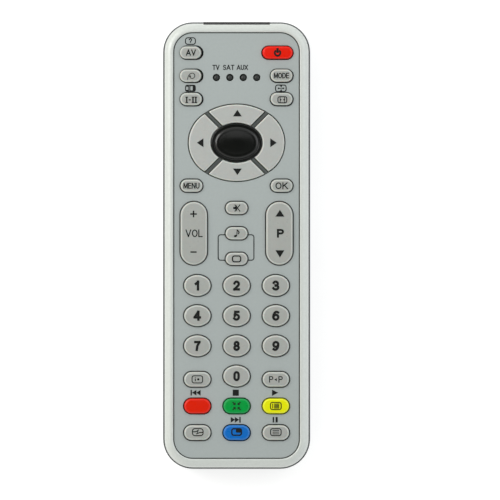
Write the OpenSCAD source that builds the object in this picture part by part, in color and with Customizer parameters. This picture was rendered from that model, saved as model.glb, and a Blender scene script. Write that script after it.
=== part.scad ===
// Universal remote control: a two-part moulded case with an inlaid face, a silicone keypad of
// separate travelling keys, a circuit board, two AAA cells and a battery door that slides off.
// The case lies on its back: +Z comes out of the keys and +Y points to the infrared window.

/* [Case] */
// Overall width of the case
body_w = 54.2; // [54:0.1:60]
// Overall length of the case
body_l = 164.7; // [162:0.1:180]
// Corner radius of the case, seen from above
corner_r = 11; // [8.5:0.1:12]
// Thickness of the side walls
wall = 1.8; // [1.4:0.1:2.2]
// Thickness of the back
back_wall = 1.8; // [1.6:0.1:2.2]
// Radius that rounds the side walls into the back
back_r = 6; // [4:0.5:7]
// Height of the joint between the two halves
part_z = 11.5; // [11:0.1:12.4]
// How far the lower half stands out past the upper half
ledge = 0.6; // [0.2:0.05:0.7]
// Thickness of the wall under the face
top_wall = 1.6; // [1.2:0.1:2]
// Width of the rim round the face
rim_w = 3.2; // [3.1:0.1:3.8]
// Height of the rim above the face
rim_rise = 0.6; // [0.2:0.1:1.2]
// Radius of the rim's outer shoulder
shoulder_r = 2.6; // [2:0.1:2.7]
// Radius of the rim's inner edge
rim_edge_r = 0.5; // [0.3:0.1:0.6]
// Corner radius of the recess that holds the face
recess_r = 7.2; // [6:0.1:7.5]

/* [Face] */
// Thickness of the inlaid face
face_t = 0.8; // [0.6:0.1:1]
// Gap between the face and the rim
face_gap = 0.35; // [0.15:0.05:0.5]

/* [Keys] */
// Gap between a key and its opening
key_gap = 0.35; // [0.28:0.01:0.4]
// Height of a key above the face
key_proud = 1.3; // [1.1:0.1:2]
// Radius of a key's top edge
key_edge_r = 0.8; // [0.6:0.1:1]
// How far a key goes down
key_travel = 0.8; // [0.5:0.05:0.9]
// Tilt of a rocker each way, in degrees
rocker_tilt = 3.5; // [2:0.1:3.8]
// Width of the flexible skirt round a key's foot
skirt_w = 0.7; // [0.5:0.05:0.8]
// Height of the skirt
skirt_h = 1.1; // [0.8:0.1:1.2]
// Width of a small key's opening
small_w = 8.8; // [8:0.1:9.2]
// Height of a small key's opening
small_h = 5.3; // [5:0.1:5.8]
// Width of the power key's opening
power_w = 11.9; // [10:0.1:13]
// Width of a number key's opening
digit_w = 10.5; // [9.8:0.1:11.2]
// Height of a number key's opening
digit_h = 8.5; // [8:0.1:8.8]
// Width of a lower function key's opening
wide_w = 10.5; // [9:0.1:11.2]
// Height of a lower function key's opening
wide_h = 6.2; // [5.6:0.1:6.6]
// Width of a rocker's opening
rocker_w = 10.5; // [9.5:0.1:10.8]
// Length of a rocker's opening
rocker_h = 23.9; // [22:0.1:24.2]
// Gap from the recess wall to the outer side keys
side_margin = 2.3; // [2:0.05:2.6]
// Distance between the columns of number keys
digit_pitch_x = 14.45; // [13.6:0.05:14.8]

/* [Direction pad] */
// Width of the direction pad's opening
pad_w = 36; // [34:0.1:36.4]
// Height of the direction pad's opening
pad_h = 28.9; // [27:0.1:29.2]
// Width of the centre cap's opening
cap_w = 19.1; // [17:0.1:20]
// Height of the centre cap's opening
cap_h = 14.7; // [13:0.1:15.5]
// Width of the arms between the direction keys
arm_w = 0.9; // [0.6:0.1:1.4]
// Height of the centre cap above the face
cap_proud = 1.5; // [0.8:0.1:2]
// Height of the direction keys above the face
pad_proud = 0.9; // [0.6:0.1:1.3]

/* [Board and keypad] */
// Thickness of the circuit board
board_t = 1.2; // [0.8:0.1:1.6]
// Thickness of the keypad mat
mat_t = 1.2; // [1:0.1:1.4]
// Free height between the mat and the wall above
dome_h = 2; // [1.8:0.1:2.4]
// Radius of a mode light
led_r = 1.25; // [1:0.05:1.4]
// Distance between the mode lights
led_pitch = 4.95; // [4.4:0.05:5.2]
// Width of the infrared window
window_w = 24.4; // [20:0.1:26]

/* [Battery bay] */
// Diameter of a cell
cell_d = 10.5; // [10:0.1:10.5]
// Length of a cell over its terminals
cell_l = 44.5; // [43.5:0.1:44.5]
// Gap left round a cell
cell_gap = 0.3; // [0.2:0.05:0.5]
// Distance of each cell's axis from the middle
cell_x = 6.3; // [6.1:0.1:6.6]
// Thickness of the bay's walls and roof
bay_wall = 1.2; // [1:0.1:1.6]
// Width of the battery door's panel
door_w = 26; // [25.6:0.1:28]
// Clearance round the battery door
door_gap = 0.2; // [0.1:0.05:0.3]
// How far the door lies in from the back
door_sink = 0.2; // [0.1:0.05:0.3]
// Width of the tongue on each side of the door
tongue_w = 0.9; // [0.6:0.1:1.2]
// Diameter of the contact springs' wire
wire_d = 0.6; // [0.5:0.05:0.7]
// Turns of each contact spring
spring_turns = 4; // [3:1:5]

/* [Hidden] */
$fn = 64;

// A margin by which cutting shapes run past what they cut
over = 1;
// How deep joined shapes run into each other
overlap = 0.2;

// The upper half's outline
upper_w = body_w - 2 * ledge;
upper_l = body_l - 2 * ledge;
upper_r = corner_r - ledge;

// The recess for the face, and the face itself
recess_w = upper_w - 2 * rim_w;
recess_l = upper_l - 2 * rim_w;
face_w = recess_w - 2 * face_gap;
face_l = recess_l - 2 * face_gap;
face_r = recess_r - face_gap;

// Levels, from the back upwards
cell_z = back_wall + cell_gap + cell_d / 2;
roof_z = cell_z + cell_d / 2 + cell_gap;
board_z = roof_z + bay_wall;
mat_z = board_z + board_t;
mat_top = mat_z + mat_t;
ceiling_z = mat_top + dome_h;
seat_z = ceiling_z + top_wall;
face_z = seat_z + face_t;
rim_z = face_z + rim_rise;
key_top = face_z + key_proud;
pad_top = face_z + pad_proud;

// Keys: a skirt's foot clears the board by this much when the key is down
foot_gap = 0.1;
skirt_z = mat_z + key_travel + foot_gap;
// Gap between a skirt and the mat, and a rocker's, whose foot swings as it tilts
mat_gap = 0.2;
rocker_mat_gap = mat_gap + (ceiling_z - skirt_z) * tan(rocker_tilt);
// The wall under the face has slightly wider openings than the face
wall_extra = 0.1;
// Radii of the crowned tops
crown_r = 60;
rocker_crown_r = 200;
pad_crown_r = 400;
cap_crown_r = 80;
// The crowning lens is wider than any key and reaches below all of them
crown_half = 25;
crown_depth = 10;
// It cuts a little off the top of a key's column
crown_cut = 0.3;
// Sides of a lofted oval, and the end radius of its last ring
oval_steps = 40;
oval_tip = 0.25;
// How much rounder an oval's ends are than an ellipse's
oval_fullness = 1.1;

// Rows of keys, from the top of the face down, as shares of half the recess's length
half_l = recess_l / 2;
row_power = 0.9038 * half_l;
row_mode = 0.7954 * half_l;
row_dual = 0.6858 * half_l;
row_lights = 0.7878 * half_l;
row_pad = 0.4818 * half_l;
row_menu = 0.2804 * half_l;
row_mute = 0.1759 * half_l;
row_rocker = 0.05736 * half_l;
row_picture = -0.06246 * half_l;
row_digits = -0.1874 * half_l;
row_info = -0.6272 * half_l;
row_colour = -0.7521 * half_l;
row_text = -0.877 * half_l;
digit_pitch_y = 0.1415 * half_l;

// Columns of keys
side_x = recess_w / 2 - side_margin - small_w / 2;
power_x = side_x + small_w / 2 - power_w / 2;
rocker_x = side_x + small_w / 2 - rocker_w / 2;

// Each key: name, form, x, y, width and height of its opening, colour
light_grey = "#B9BBB6";
DIGITS = [for (n = [1:9])
    [str("key_", n), "oval", ((n - 1) % 3 - 1) * digit_pitch_x,
     row_digits - floor((n - 1) / 3) * digit_pitch_y, digit_w, digit_h, light_grey]];
KEYS = concat([
    ["source_key", "pill", -side_x, row_power, small_w, small_h, light_grey],
    ["power_key", "pill", power_x, row_power, power_w, small_h, "#E22A16"],
    ["display_key", "pill", -side_x, row_mode, small_w, small_h, light_grey],
    ["mode_key", "pill", side_x, row_mode, small_w, small_h, light_grey],
    ["dual_key", "pill", -side_x, row_dual, small_w, small_h, light_grey],
    ["wide_key", "pill", side_x, row_dual, small_w, small_h, light_grey],
    ["menu_key", "pill", -side_x, row_menu, small_w, small_h, light_grey],
    ["ok_key", "pill", side_x, row_menu, small_w, small_h, light_grey],
    ["mute_key", "pill", 0, row_mute, small_w, small_h, light_grey],
    ["sound_key", "pill", 0, row_rocker, small_w, small_h, light_grey],
    ["picture_key", "pill", 0, row_picture, small_w, small_h, light_grey],
    ["key_0", "oval", 0, row_digits - 3 * digit_pitch_y, digit_w, digit_h, light_grey],
    ["info_key", "pill", -digit_pitch_x, row_info, wide_w, wide_h, light_grey],
    ["swap_key", "pill", digit_pitch_x, row_info, wide_w, wide_h, light_grey],
    ["red_key", "pill", -digit_pitch_x, row_colour, wide_w, wide_h, "#D92C1A"],
    ["green_key", "pill", 0, row_colour, wide_w, wide_h, "#0A9447"],
    ["yellow_key", "pill", digit_pitch_x, row_colour, wide_w, wide_h, "#E6E61A"],
    ["list_key", "pill", -digit_pitch_x, row_text, wide_w, wide_h, light_grey],
    ["blue_key", "pill", 0, row_text, wide_w, wide_h, "#256AB8"],
    ["text_key", "pill", digit_pitch_x, row_text, wide_w, wide_h, light_grey]], DIGITS);
ROCKERS = [
    ["volume_rocker", "pill", -rocker_x, row_rocker, rocker_w, rocker_h, light_grey],
    ["channel_rocker", "pill", rocker_x, row_rocker, rocker_w, rocker_h, light_grey]];
// Each direction key: name, the angle of its sector's first side, and a half turn for two of them
DIRECTIONS = [["up_key", 45, 0], ["left_key", 135, 0], ["down_key", 45, 180], ["right_key", 135, 180]];

// Mode lights and the infrared light
led_flange = 0.35;
led_flange_h = 1;
led_gap = 0.1;
led_proud = 0.1;
ir_r = 2.5;
ir_len = 8.6;
ir_flange = 0.4;
ir_lead_pitch = 2.54;
ir_lead_r = 0.25;
ir_lead_l = 3.5;
ir_gap = 0.5;
ir_notch = ir_r + ir_flange + ir_gap;
ir_sink = 0.7;
ir_poke = 0.6;

// Infrared window
window_gap = 0.1;
window_top = ceiling_z + 0.5;
window_flange = 1.2;
window_edge_r = 1;

// Board and mat outline inside the upper half
board_gap = 0.5;
board_w = upper_w - 2 * wall - 2 * board_gap;
board_l = upper_l - 2 * wall - 2 * (window_flange + board_gap);
board_r = upper_r - wall - board_gap;

// Where the larger parts sit on the board's underside
chip_y = row_pad - 7.8;
tall_x = 12;
tall_y = row_rocker + 3.5;
transistor_x = 9;
transistor_y = row_mode - 4.4;
resistor_y = row_mute + 2.2;

// Case screws
boss_x = side_x + small_w / 2 - 0.1;
boss_y = row_dual - 7.5;
boss_split_z = board_z - 0.7;
upper_boss_r = 2.4;
boss_gap = 0.4;
screw_r = 1;
screw_fit = 0.05;
screw_hole_gap = 0.2;
head_r = 2;
head_h = 1.5;
head_z = 0.8;
head_gap = 0.3;
cross_half = 1.3;
cross_w = 0.6;
cross_h = 0.8;
screw_end_z = ceiling_z - 1.6;
screw_clear = 0.3;

// Posts that carry the board and hold the mat down
post_r = 1.5;
pin_r = 0.9;
post_x = board_w / 2 - post_r - 0.7;
pin_x = board_w / 2 - pin_r - 0.5;
// Their rows, as shares of half the board's length
post_rows = [for (share = [0.84, 0.32, -0.15]) share * board_l / 2];
pin_rows = [for (share = [0.84, 0.38, 0, -0.38, -0.76]) share * board_l / 2];

// Interlocking lip of the lower half
lip_t = 0.85;
lip_gap = 0.1;
lip_h = 1.2;
lip_root = 2.5;
lip_foot = 0.2;
// A lower boss reaches into the lip beside it
lip_x = body_w / 2 - ledge - wall - lip_gap - lip_t;
lower_boss_r = lip_x + 0.2 - boss_x;

// Battery bay, measured from the lower end
spring_len = 5.7;
plate_t = 0.4;
bay_y0 = -body_l / 2 + wall + 4.7;
bay_y1 = bay_y0 + cell_l + spring_len + 2 * plate_t;
bay_half = door_w / 2 + door_gap;
tongue_half = door_w / 2 + tongue_w;
bay_out = tongue_half + door_gap + bay_wall;
door_y1 = bay_y1 + bay_wall + 2.8;
door_y0 = bay_y0 + 1;
door_end_z = part_z - 2.5;
door_split_z = back_wall / 2 + 0.05;
hook_half = 2.5;
hook_l = 3;
hook_t = 0.8;
hook_gap = 0.15;
hook_root = 1.5;
hook_side = 0.3;
// The door's end wall and the room cut for it
end_depth = wall + 2.8;
end_room = wall + 3;
// Extra height of the tongues' slots
tongue_gap = 0.1;
// Distance from the door's inner end to its first grip groove
grip_start = 6;
grip_half = 6;
grip_r = 0.5;
grip_pitch = 1.8;
grip_count = 5;
plate_z0 = cell_z - cell_d / 2 + 1.5;
plate_half = 4;
tail_half = 1;
nub_r = 1.9;
nub_h = 1;
divider_half = 0.4;
divider_end = 12;
tail_gap = 0.2;
spring_r0 = 3.6;
spring_r1 = 2.6;

// Flat outlines

// A rectangle with round corners, centred
module round_rect(w, l, r) {
    square([w - 2 * r, l], center = true);
    square([w, l - 2 * r], center = true);
    for (x = [-1, 1], y = [-1, 1])
        translate([x * (w / 2 - r), y * (l / 2 - r)]) circle(r);
}

// A bar with full round ends, lying along its longer side
module pill(w, h, grow = 0) {
    r = min(w, h) / 2 + grow;
    across = w > h;
    reach = abs(w - h) / 2;
    square(across ? [2 * reach, 2 * r] : [2 * r, 2 * reach], center = true);
    for (s = [-1, 1]) translate(across ? [s * reach, 0] : [0, s * reach]) circle(r);
}

// An oval of four arcs: the end radius, then the flat radius that meets it smoothly
function oval_end(w, h) = oval_fullness * h * h / w / 2;
function oval_side(w, h) = let (r = oval_end(w, h))
    (pow(w / 2 - r, 2) + h * h / 4 - r * r) / (h - 2 * r);
function oval_turn(w, h) = atan2(oval_side(w, h) - h / 2, w / 2 - oval_end(w, h));

module oval(w, h, grow = 0) {
    r = oval_end(w, h);
    side = oval_side(w, h);
    reach = w / 2 - r;
    meet = reach + (r + grow) * cos(oval_turn(w, h));
    intersection() {
        translate([0, h / 2 - side]) circle(side + grow);
        translate([0, side - h / 2]) circle(side + grow);
        square([2 * meet, h + 2 * grow + over], center = true);
    }
    for (s = [-1, 1]) translate([s * reach, 0]) circle(r + grow);
}

// A point of an oval's outline, grown by some amount, where the outline faces an angle
function oval_point(w, h, grow, a) =
    let (r = oval_end(w, h), side = oval_side(w, h))
    abs(sin(a)) < sin(oval_turn(w, h))
        ? [sign(cos(a)) * (w / 2 - r) + (r + grow) * cos(a), (r + grow) * sin(a)]
        : [(side + grow) * cos(a), sign(sin(a)) * (h / 2 - side) + (side + grow) * sin(a)];

// The same oval with straight sides, as many as a lofted number key has
module sided_oval(w, h, grow) {
    polygon([for (k = [0:oval_steps - 1]) oval_point(w, h, grow, 360 * k / oval_steps)]);
}

// A key's outline, grown outwards by some amount
module key_outline(key, grow) {
    translate([key[2], key[3]])
        if (key[1] == "oval") sided_oval(key[4], key[5], grow);
        else pill(key[4], key[5], grow);
}

// The room between two arms and outside the centre cap, shrunk by some amount
module pad_sector(turn, shrink) {
    difference() {
        rotate(turn) translate([1, 1] * (arm_w / 2 + shrink)) square(pad_w);
        oval(cap_w, cap_h, shrink);
    }
}

// One quarter of the direction pad, shrunk on every side by some amount
module pad_quarter(turn, shrink) {
    intersection() {
        oval(pad_w, pad_h, -shrink);
        pad_sector(turn, shrink);
    }
}

// Every opening for keys
module key_openings(grow) {
    for (key = concat(KEYS, ROCKERS)) key_outline(key, grow);
    translate([0, row_pad]) oval(pad_w, pad_h, grow);
}

// Profiles carried round an outline

// The corner that a fillet takes off: a square less a quarter of a disc
module fillet_cut(r, x, y, turn) {
    translate([x, y]) rotate(turn) difference() {
        translate([-r, -r]) square(r + over);
        translate([-r, -r]) circle(r);
    }
}

// Carries an edge profile round a rounded rectangle; the profile's x is the distance
// from the corner's axis and its y is the height
module carry_round(w, l, r) {
    for (c = [[1, 1, 0], [-1, 1, 90], [-1, -1, 180], [1, -1, 270]])
        translate([c[0] * (w / 2 - r), c[1] * (l / 2 - r), 0])
            rotate(c[2]) rotate_extrude(angle = 90) children();
    for (t = [0, 180]) {
        rotate(t) translate([w / 2 - r, 0, 0])
            rotate([90, 0, 0]) linear_extrude(l - 2 * r, center = true) children();
        rotate(t) translate([0, l / 2 - r, 0])
            rotate([90, 0, 90]) linear_extrude(w - 2 * r, center = true) children();
    }
}

// Carries an edge profile round a pill; the profile finds its radius in $edge_r
module carry_pill(w, h) {
    $edge_r = min(w, h) / 2;
    reach = abs(w - h) / 2;
    rotate(w > h ? 0 : 90) for (t = [0, 180]) rotate(t) {
        translate([reach, 0, 0]) rotate(-90) rotate_extrude(angle = 180) children();
        rotate([90, 0, 90]) linear_extrude(2 * reach, center = true) children();
    }
}

// Carries an edge profile round a four-arc oval; the profile finds its radius in $edge_r
module carry_oval(w, h, grow) {
    r = oval_end(w, h);
    side = oval_side(w, h);
    turn = oval_turn(w, h);
    for (t = [0, 180]) rotate(t) {
        translate([w / 2 - r, 0, 0]) rotate(-turn)
            let ($edge_r = r + grow) rotate_extrude(angle = 2 * turn) children();
        translate([0, h / 2 - side, 0]) rotate(turn)
            let ($edge_r = side + grow) rotate_extrude(angle = 180 - 2 * turn) children();
    }
}

// A solid block with a rounded lower edge, such as a half of the case
module rounded_tray(w, l, r, z0, z1, edge) {
    carry_round(w, l, r) difference() {
        translate([0, z0]) square([r, z1 - z0]);
        fillet_cut(edge, r, z0, -90);
    }
    translate([r - w / 2, r - l / 2, z0]) cube([w - 2 * r, l - 2 * r, z1 - z0]);
}

// A wide lens whose top is at a height, for crowning a key
module crown(r, top) {
    translate([0, 0, top]) rotate_extrude() intersection() {
        translate([0, -r]) circle(r, $fn = 720);
        translate([0, -crown_depth]) square([crown_half, crown_depth + over]);
    }
}

// A key's section: a column with a rounded top edge, on a flexible skirt
module key_profile(top) {
    difference() {
        translate([0, skirt_z]) square([$edge_r, top - skirt_z]);
        fillet_cut(key_edge_r, $edge_r, top, 0);
    }
    polygon([[0, skirt_z], [$edge_r + skirt_w, skirt_z], [$edge_r + skirt_w, mat_top],
             [$edge_r, skirt_z + skirt_h], [0, skirt_z + skirt_h]]);
}

// A solid of oval rings from the bottom up, each given as [growth, height]
module oval_loft(w, h, rings) {
    last = len(rings) - 1;
    at = function (i, k) i * oval_steps + k % oval_steps;
    polyhedron(
        points = [for (ring = rings, k = [0:oval_steps - 1])
            let (p = oval_point(w, h, ring[0], 360 * k / oval_steps)) [p.x, p.y, ring[1]]],
        faces = concat(
            [[for (k = [0:oval_steps - 1]) at(0, k)]],
            [[for (k = [oval_steps - 1:-1:0]) at(last, k)]],
            [for (i = [0:last - 1], k = [0:oval_steps - 1]) each [
                [at(i, k), at(i + 1, k), at(i, k + 1)],
                [at(i, k + 1), at(i + 1, k), at(i + 1, k + 1)]]]));
}

// The rings of a rounded top edge and the crown inside it
function crown_rings(w, h, grow, top, edge, ball) =
    let (drop = w * w / 8 / ball, middle = oval_tip - oval_end(w, h))
    concat([for (a = [0:30:90]) [grow - edge * (1 - cos(a)), top - drop - edge * (1 - sin(a))]],
           [for (t = [0.5, 1]) [(grow - edge) * (1 - t) + middle * t, top - drop * pow(1 - t, 2)]]);

// The rings of a skirt round a key's foot
function skirt_rings(grow) =
    [[grow + skirt_w, skirt_z], [grow + skirt_w, mat_top], [grow, skirt_z + skirt_h]];

// Keys

module key(key, ball) {
    color(key[6]) translate([key[2], key[3], 0])
        if (key[1] == "oval")
            oval_loft(key[4], key[5], concat(skirt_rings(-key_gap),
                crown_rings(key[4], key[5], -key_gap, key_top, key_edge_r, ball)));
        else intersection() {
            carry_pill(key[4] - 2 * key_gap, key[5] - 2 * key_gap) key_profile(key_top + crown_cut);
            crown(ball, key_top);
        }
}

// A direction key: a quarter of a crowned oval with a rounded outer edge
module direction_key(turn, half) {
    color(light_grey) translate([0, row_pad, 0]) rotate(half) difference() {
        intersection() {
            translate([0, 0, skirt_z]) linear_extrude(pad_top + crown_cut - skirt_z)
                pad_quarter(turn, key_gap);
            crown(pad_crown_r, pad_top);
        }
        carry_oval(pad_w, pad_h, -key_gap) fillet_cut(key_edge_r, $edge_r, pad_top, 0);
    }
}

// Upper half of the case

module rim_profile() {
    root = 0.7;
    depth = rim_w + max(0, recess_r + rim_w - upper_r) + root;
    difference() {
        union() {
            translate([upper_r - wall, part_z]) square([wall, rim_z - part_z]);
            translate([upper_r - depth, ceiling_z]) square([depth, rim_z - ceiling_z]);
        }
        fillet_cut(shoulder_r, upper_r, rim_z, 0);
    }
}

module window_slot(grow, z1) {
    translate([-window_w / 2 - grow, upper_l / 2 - wall - over, part_z - over])
        cube([window_w + 2 * grow, wall + 2 * over, z1 - part_z + over]);
}

module upper_shell() {
    color("#D3D8D5") difference() {
        union() {
            carry_round(upper_w, upper_l, upper_r) rim_profile();
            translate([0, 0, ceiling_z]) linear_extrude(top_wall)
                round_rect(recess_w + 1, recess_l + 1, recess_r);
            for (s = [-1, 1]) translate([s * boss_x, boss_y, boss_split_z])
                cylinder(r = upper_boss_r, h = ceiling_z - boss_split_z + over / 2);
            for (s = [-1, 1], y = pin_rows) translate([s * pin_x, y, mat_top])
                cylinder(r = pin_r, h = dome_h + over / 2);
        }
        translate([0, 0, seat_z]) linear_extrude(rim_rise + face_t + over)
            round_rect(recess_w, recess_l, recess_r);
        carry_round(recess_w, recess_l, recess_r)
            fillet_cut(rim_edge_r, recess_r, rim_z, 90);
        translate([0, 0, ceiling_z - over]) linear_extrude(top_wall + 2 * over)
            key_openings(wall_extra);
        for (n = [0:3]) translate([(n - 1.5) * led_pitch, row_lights, ceiling_z - over])
            cylinder(r = led_r + led_gap + wall_extra, h = top_wall + 2 * over);
        for (s = [-1, 1]) translate([s * boss_x, boss_y, boss_split_z - over])
            cylinder(r = screw_r + screw_fit, h = screw_end_z - boss_split_z + over + screw_clear);
        window_slot(window_gap, window_top + window_gap);
    }
}

module faceplate() {
    color("#AEB4B4") difference() {
        translate([0, 0, seat_z]) linear_extrude(face_t) round_rect(face_w, face_l, face_r);
        translate([0, 0, seat_z - over]) linear_extrude(face_t + 2 * over) key_openings(0);
        for (n = [0:3]) translate([(n - 1.5) * led_pitch, row_lights, seat_z - over])
            cylinder(r = led_r + led_gap, h = face_t + 2 * over);
    }
}

// Dark window in the end wall, held by a flange behind it that stands on the lower half's lip
module ir_window() {
    y_in = upper_l / 2 - wall;
    foot_gap = 0.15;
    root = 0.3;
    side_gap = 0.05;
    flange_z = part_z + lip_h + foot_gap;
    color("#1B1518") {
        translate([0, y_in, part_z]) rotate([90, 0, 90])
            linear_extrude(window_w, center = true) difference() {
                square([wall + ledge, window_top - part_z]);
                fillet_cut(window_edge_r, wall + ledge, window_top - part_z, 0);
            }
        translate([-window_w / 2, y_in - window_flange, flange_z])
            cube([window_w, window_flange + root, window_top - window_edge_r - flange_z]);
        translate([-window_w / 2 - window_flange, y_in - window_flange, flange_z])
            cube([window_w + 2 * window_flange, window_flange - side_gap, ceiling_z - flange_z - root]);
    }
}

// Black carrier of the direction pad: a flange glued under the wall, four arms and an island
module direction_frame() {
    flange_w = 2.2;
    flange_t = 1;
    arm_sink = 0.35;
    arm_top = face_z - arm_sink;
    clear = 0.15;
    z0 = ceiling_z - flange_t;
    color("#26292A") translate([0, row_pad, 0]) {
        translate([0, 0, z0]) linear_extrude(flange_t) difference() {
            oval(pad_w, pad_h, flange_w);
            oval(pad_w, pad_h, wall_extra);
        }
        translate([0, 0, z0]) linear_extrude(flange_t) intersection() {
            oval(pad_w, pad_h, flange_w / 2);
            union() for (t = [45, 135]) rotate(t) square([2 * pad_w, arm_w], center = true);
        }
        translate([0, 0, z0 + flange_t / 2]) linear_extrude(arm_top - z0 - flange_t / 2)
            difference() {
                intersection() {
                    oval(pad_w, pad_h, wall_extra - clear);
                    union() for (t = [45, 135]) rotate(t) square([2 * pad_w, arm_w], center = true);
                }
                oval(cap_w, cap_h, 0);
            }
        translate([0, 0, z0]) linear_extrude(seat_z - z0) oval(cap_w, cap_h, -clear);
    }
}

// Glossy cap: a low ring with a rounded edge, a groove, and a dome inside it
module centre_cap() {
    fit = 0.15;
    ring_w = 1.1;
    ring_edge = 0.4;
    groove = 0.2;
    dome_edge = 0.7;
    ring_z = face_z + 0.3;
    dome = -fit - ring_w - groove;
    color("#101211") translate([0, row_pad, 0]) oval_loft(cap_w, cap_h, concat(
        [[-fit, seat_z]],
        [for (a = [0:30:90]) [-fit - ring_edge * (1 - cos(a)), ring_z - ring_edge * (1 - sin(a))]],
        [[-fit - ring_w, ring_z], [dome, ring_z - groove]],
        crown_rings(cap_w, cap_h, dome, face_z + cap_proud, dome_edge, cap_crown_r)));
}

// Keypad mat and circuit board

// The outline that the board and the mat share, with its notch and its holes
module board_outline() {
    difference() {
        round_rect(board_w, board_l, board_r);
        translate([-ir_notch, board_l / 2 - ir_len - ir_gap]) square([2 * ir_notch, ir_len + over]);
        for (s = [-1, 1]) translate([s * boss_x, boss_y]) circle(upper_boss_r + boss_gap);
    }
}

module keypad_mat() {
    grow = skirt_w + mat_gap - key_gap;
    rocker_grow = skirt_w + rocker_mat_gap - key_gap;
    color("#A9ABA6") translate([0, 0, mat_z]) linear_extrude(mat_t) difference() {
        board_outline();
        for (key = KEYS) key_outline(key, grow);
        for (key = ROCKERS) key_outline(key, rocker_grow);
        for (d = DIRECTIONS) translate([0, row_pad]) pad_quarter(d[1] + d[2], key_gap - mat_gap);
        for (n = [0:3]) translate([(n - 1.5) * led_pitch, row_lights])
            circle(led_r + led_flange + mat_gap);
        translate([-ir_notch, board_l / 2 - ir_len - ir_lead_l - 2 * ir_gap])
            square([2 * ir_notch, ir_lead_l + over]);
    }
}

module circuit_board() {
    color("#3C6B3F") translate([0, 0, board_z]) linear_extrude(board_t) board_outline();
}

// A round light on a flanged base, standing on z = 0
module light(r, flange, flange_h, length) {
    rotate_extrude() {
        square([r + flange, flange_h]);
        square([r, length - r]);
        intersection() {
            translate([0, length - r]) circle(r);
            translate([0, length - r - overlap]) square([r + over, r + over]);
        }
    }
}

module mode_leds() {
    color("#39403D") for (n = [0:3]) translate([(n - 1.5) * led_pitch, row_lights, mat_z])
        light(led_r, led_flange, led_flange_h, face_z + led_proud - mat_z);
}

// Infrared light lying in the board's notch, with its two leads on the board
module ir_led() {
    base_y = board_l / 2 - ir_len;
    lead_z = mat_z + ir_lead_r;
    color("#5A4A63") {
        translate([0, base_y, mat_z - ir_sink]) rotate([-90, 0, 0])
            light(ir_r, ir_flange, led_flange_h, ir_len + ir_poke);
        for (s = [-1, 1]) translate([s * ir_lead_pitch / 2, base_y - ir_lead_l, lead_z])
            rotate([-90, 0, 0]) cylinder(r = ir_lead_r, h = ir_lead_l + ir_gap);
    }
}

// Parts on the underside of the board; each hangs from z = board_z

module controller_chip() {
    length = 18;
    depth = 7.5;
    height = 2.3;
    stand = 0.2;
    leads = 14;
    lead_pitch = 1.27;
    lead_w = 0.4;
    lead_l = 1.4;
    lead_t = 0.2;
    lead_root = 0.3;
    lead_drop = 1.4;
    color("#1D1F20") translate([0, chip_y, board_z]) {
        translate([-length / 2, -depth / 2, -stand - height]) cube([length, depth, height]);
        for (n = [0:leads - 1], s = [-1, 1])
            translate([(n - (leads - 1) / 2) * lead_pitch, s * depth / 2, 0]) {
                translate([-lead_w / 2, s > 0 ? 0 : -lead_l, -lead_t])
                    cube([lead_w, lead_l, lead_t]);
                translate([-lead_w / 2, s > 0 ? 0 : -lead_root, -lead_drop])
                    cube([lead_w, lead_root, lead_drop - lead_t / 2]);
            }
    }
}

module resonator() {
    height = 5;
    stand = 1.5;
    lead_pitch = 5;
    lead_r = 0.3;
    color("#C98F3D") translate([-tall_x, tall_y, board_z]) {
        translate([0, 0, -stand - height]) linear_extrude(height) pill(7, 3);
        for (s = [-1, 1]) translate([s * lead_pitch / 2, 0, -stand - overlap])
            cylinder(r = lead_r, h = stand + overlap);
    }
}

module storage_capacitor() {
    height = 7;
    stand = 1;
    lead_pitch = 2;
    lead_r = 0.25;
    color("#2B3350") translate([tall_x, tall_y, board_z - stand - height]) {
        cylinder(r = 2.5, h = height);
        for (s = [-1, 1]) translate([s * lead_pitch / 2, 0, height - overlap])
            cylinder(r = lead_r, h = stand + overlap);
    }
}

module drive_transistor() {
    r = 2.3;
    flat = 1.2;
    height = 4.6;
    stand = 1.9;
    lead_pitch = 1.27;
    lead_r = 0.22;
    color("#202122") translate([transistor_x, transistor_y, board_z - stand - height]) {
        linear_extrude(height) difference() {
            circle(r);
            translate([-r - over, flat]) square([2 * (r + over), r]);
        }
        for (n = [-1, 0, 1]) translate([n * lead_pitch, 0, height - overlap])
            cylinder(r = lead_r, h = stand + overlap);
    }
}

module chip_resistors() {
    size = [1.2, 2, 0.55];
    count = 6;
    pitch = 3;
    color("#33363A") for (n = [0:count - 1])
        translate([(n - (count - 1) / 2) * pitch - size.x / 2, resistor_y - size.y / 2,
                   board_z - size.z])
            cube(size);
}

// Lower half of the case and the battery bay

module lower_case() {
    rounded_tray(body_w, body_l, corner_r, 0, part_z, back_r);
}

module lower_hollow(t, z1) {
    rounded_tray(body_w - 2 * wall, body_l - 2 * wall, corner_r - wall, t, z1, back_r - t);
}

module lip_profile() {
    r = corner_r - ledge - wall - lip_gap;
    translate([r - lip_t, part_z - lip_root]) square([lip_t, lip_root + lip_h]);
    translate([r - lip_t, part_z - lip_root])
        square([corner_r - wall / 2 - r + lip_t, lip_root - lip_foot]);
}

// The room the hook sweeps as the door slides out
module hook_path() {
    translate([-hook_half - hook_side, -body_l / 2 - over, back_wall - over])
        cube([2 * (hook_half + hook_side), body_l / 2 + over + door_y1 + hook_l + hook_side,
              hook_t + over + 2 * hook_gap]);
}

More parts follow.
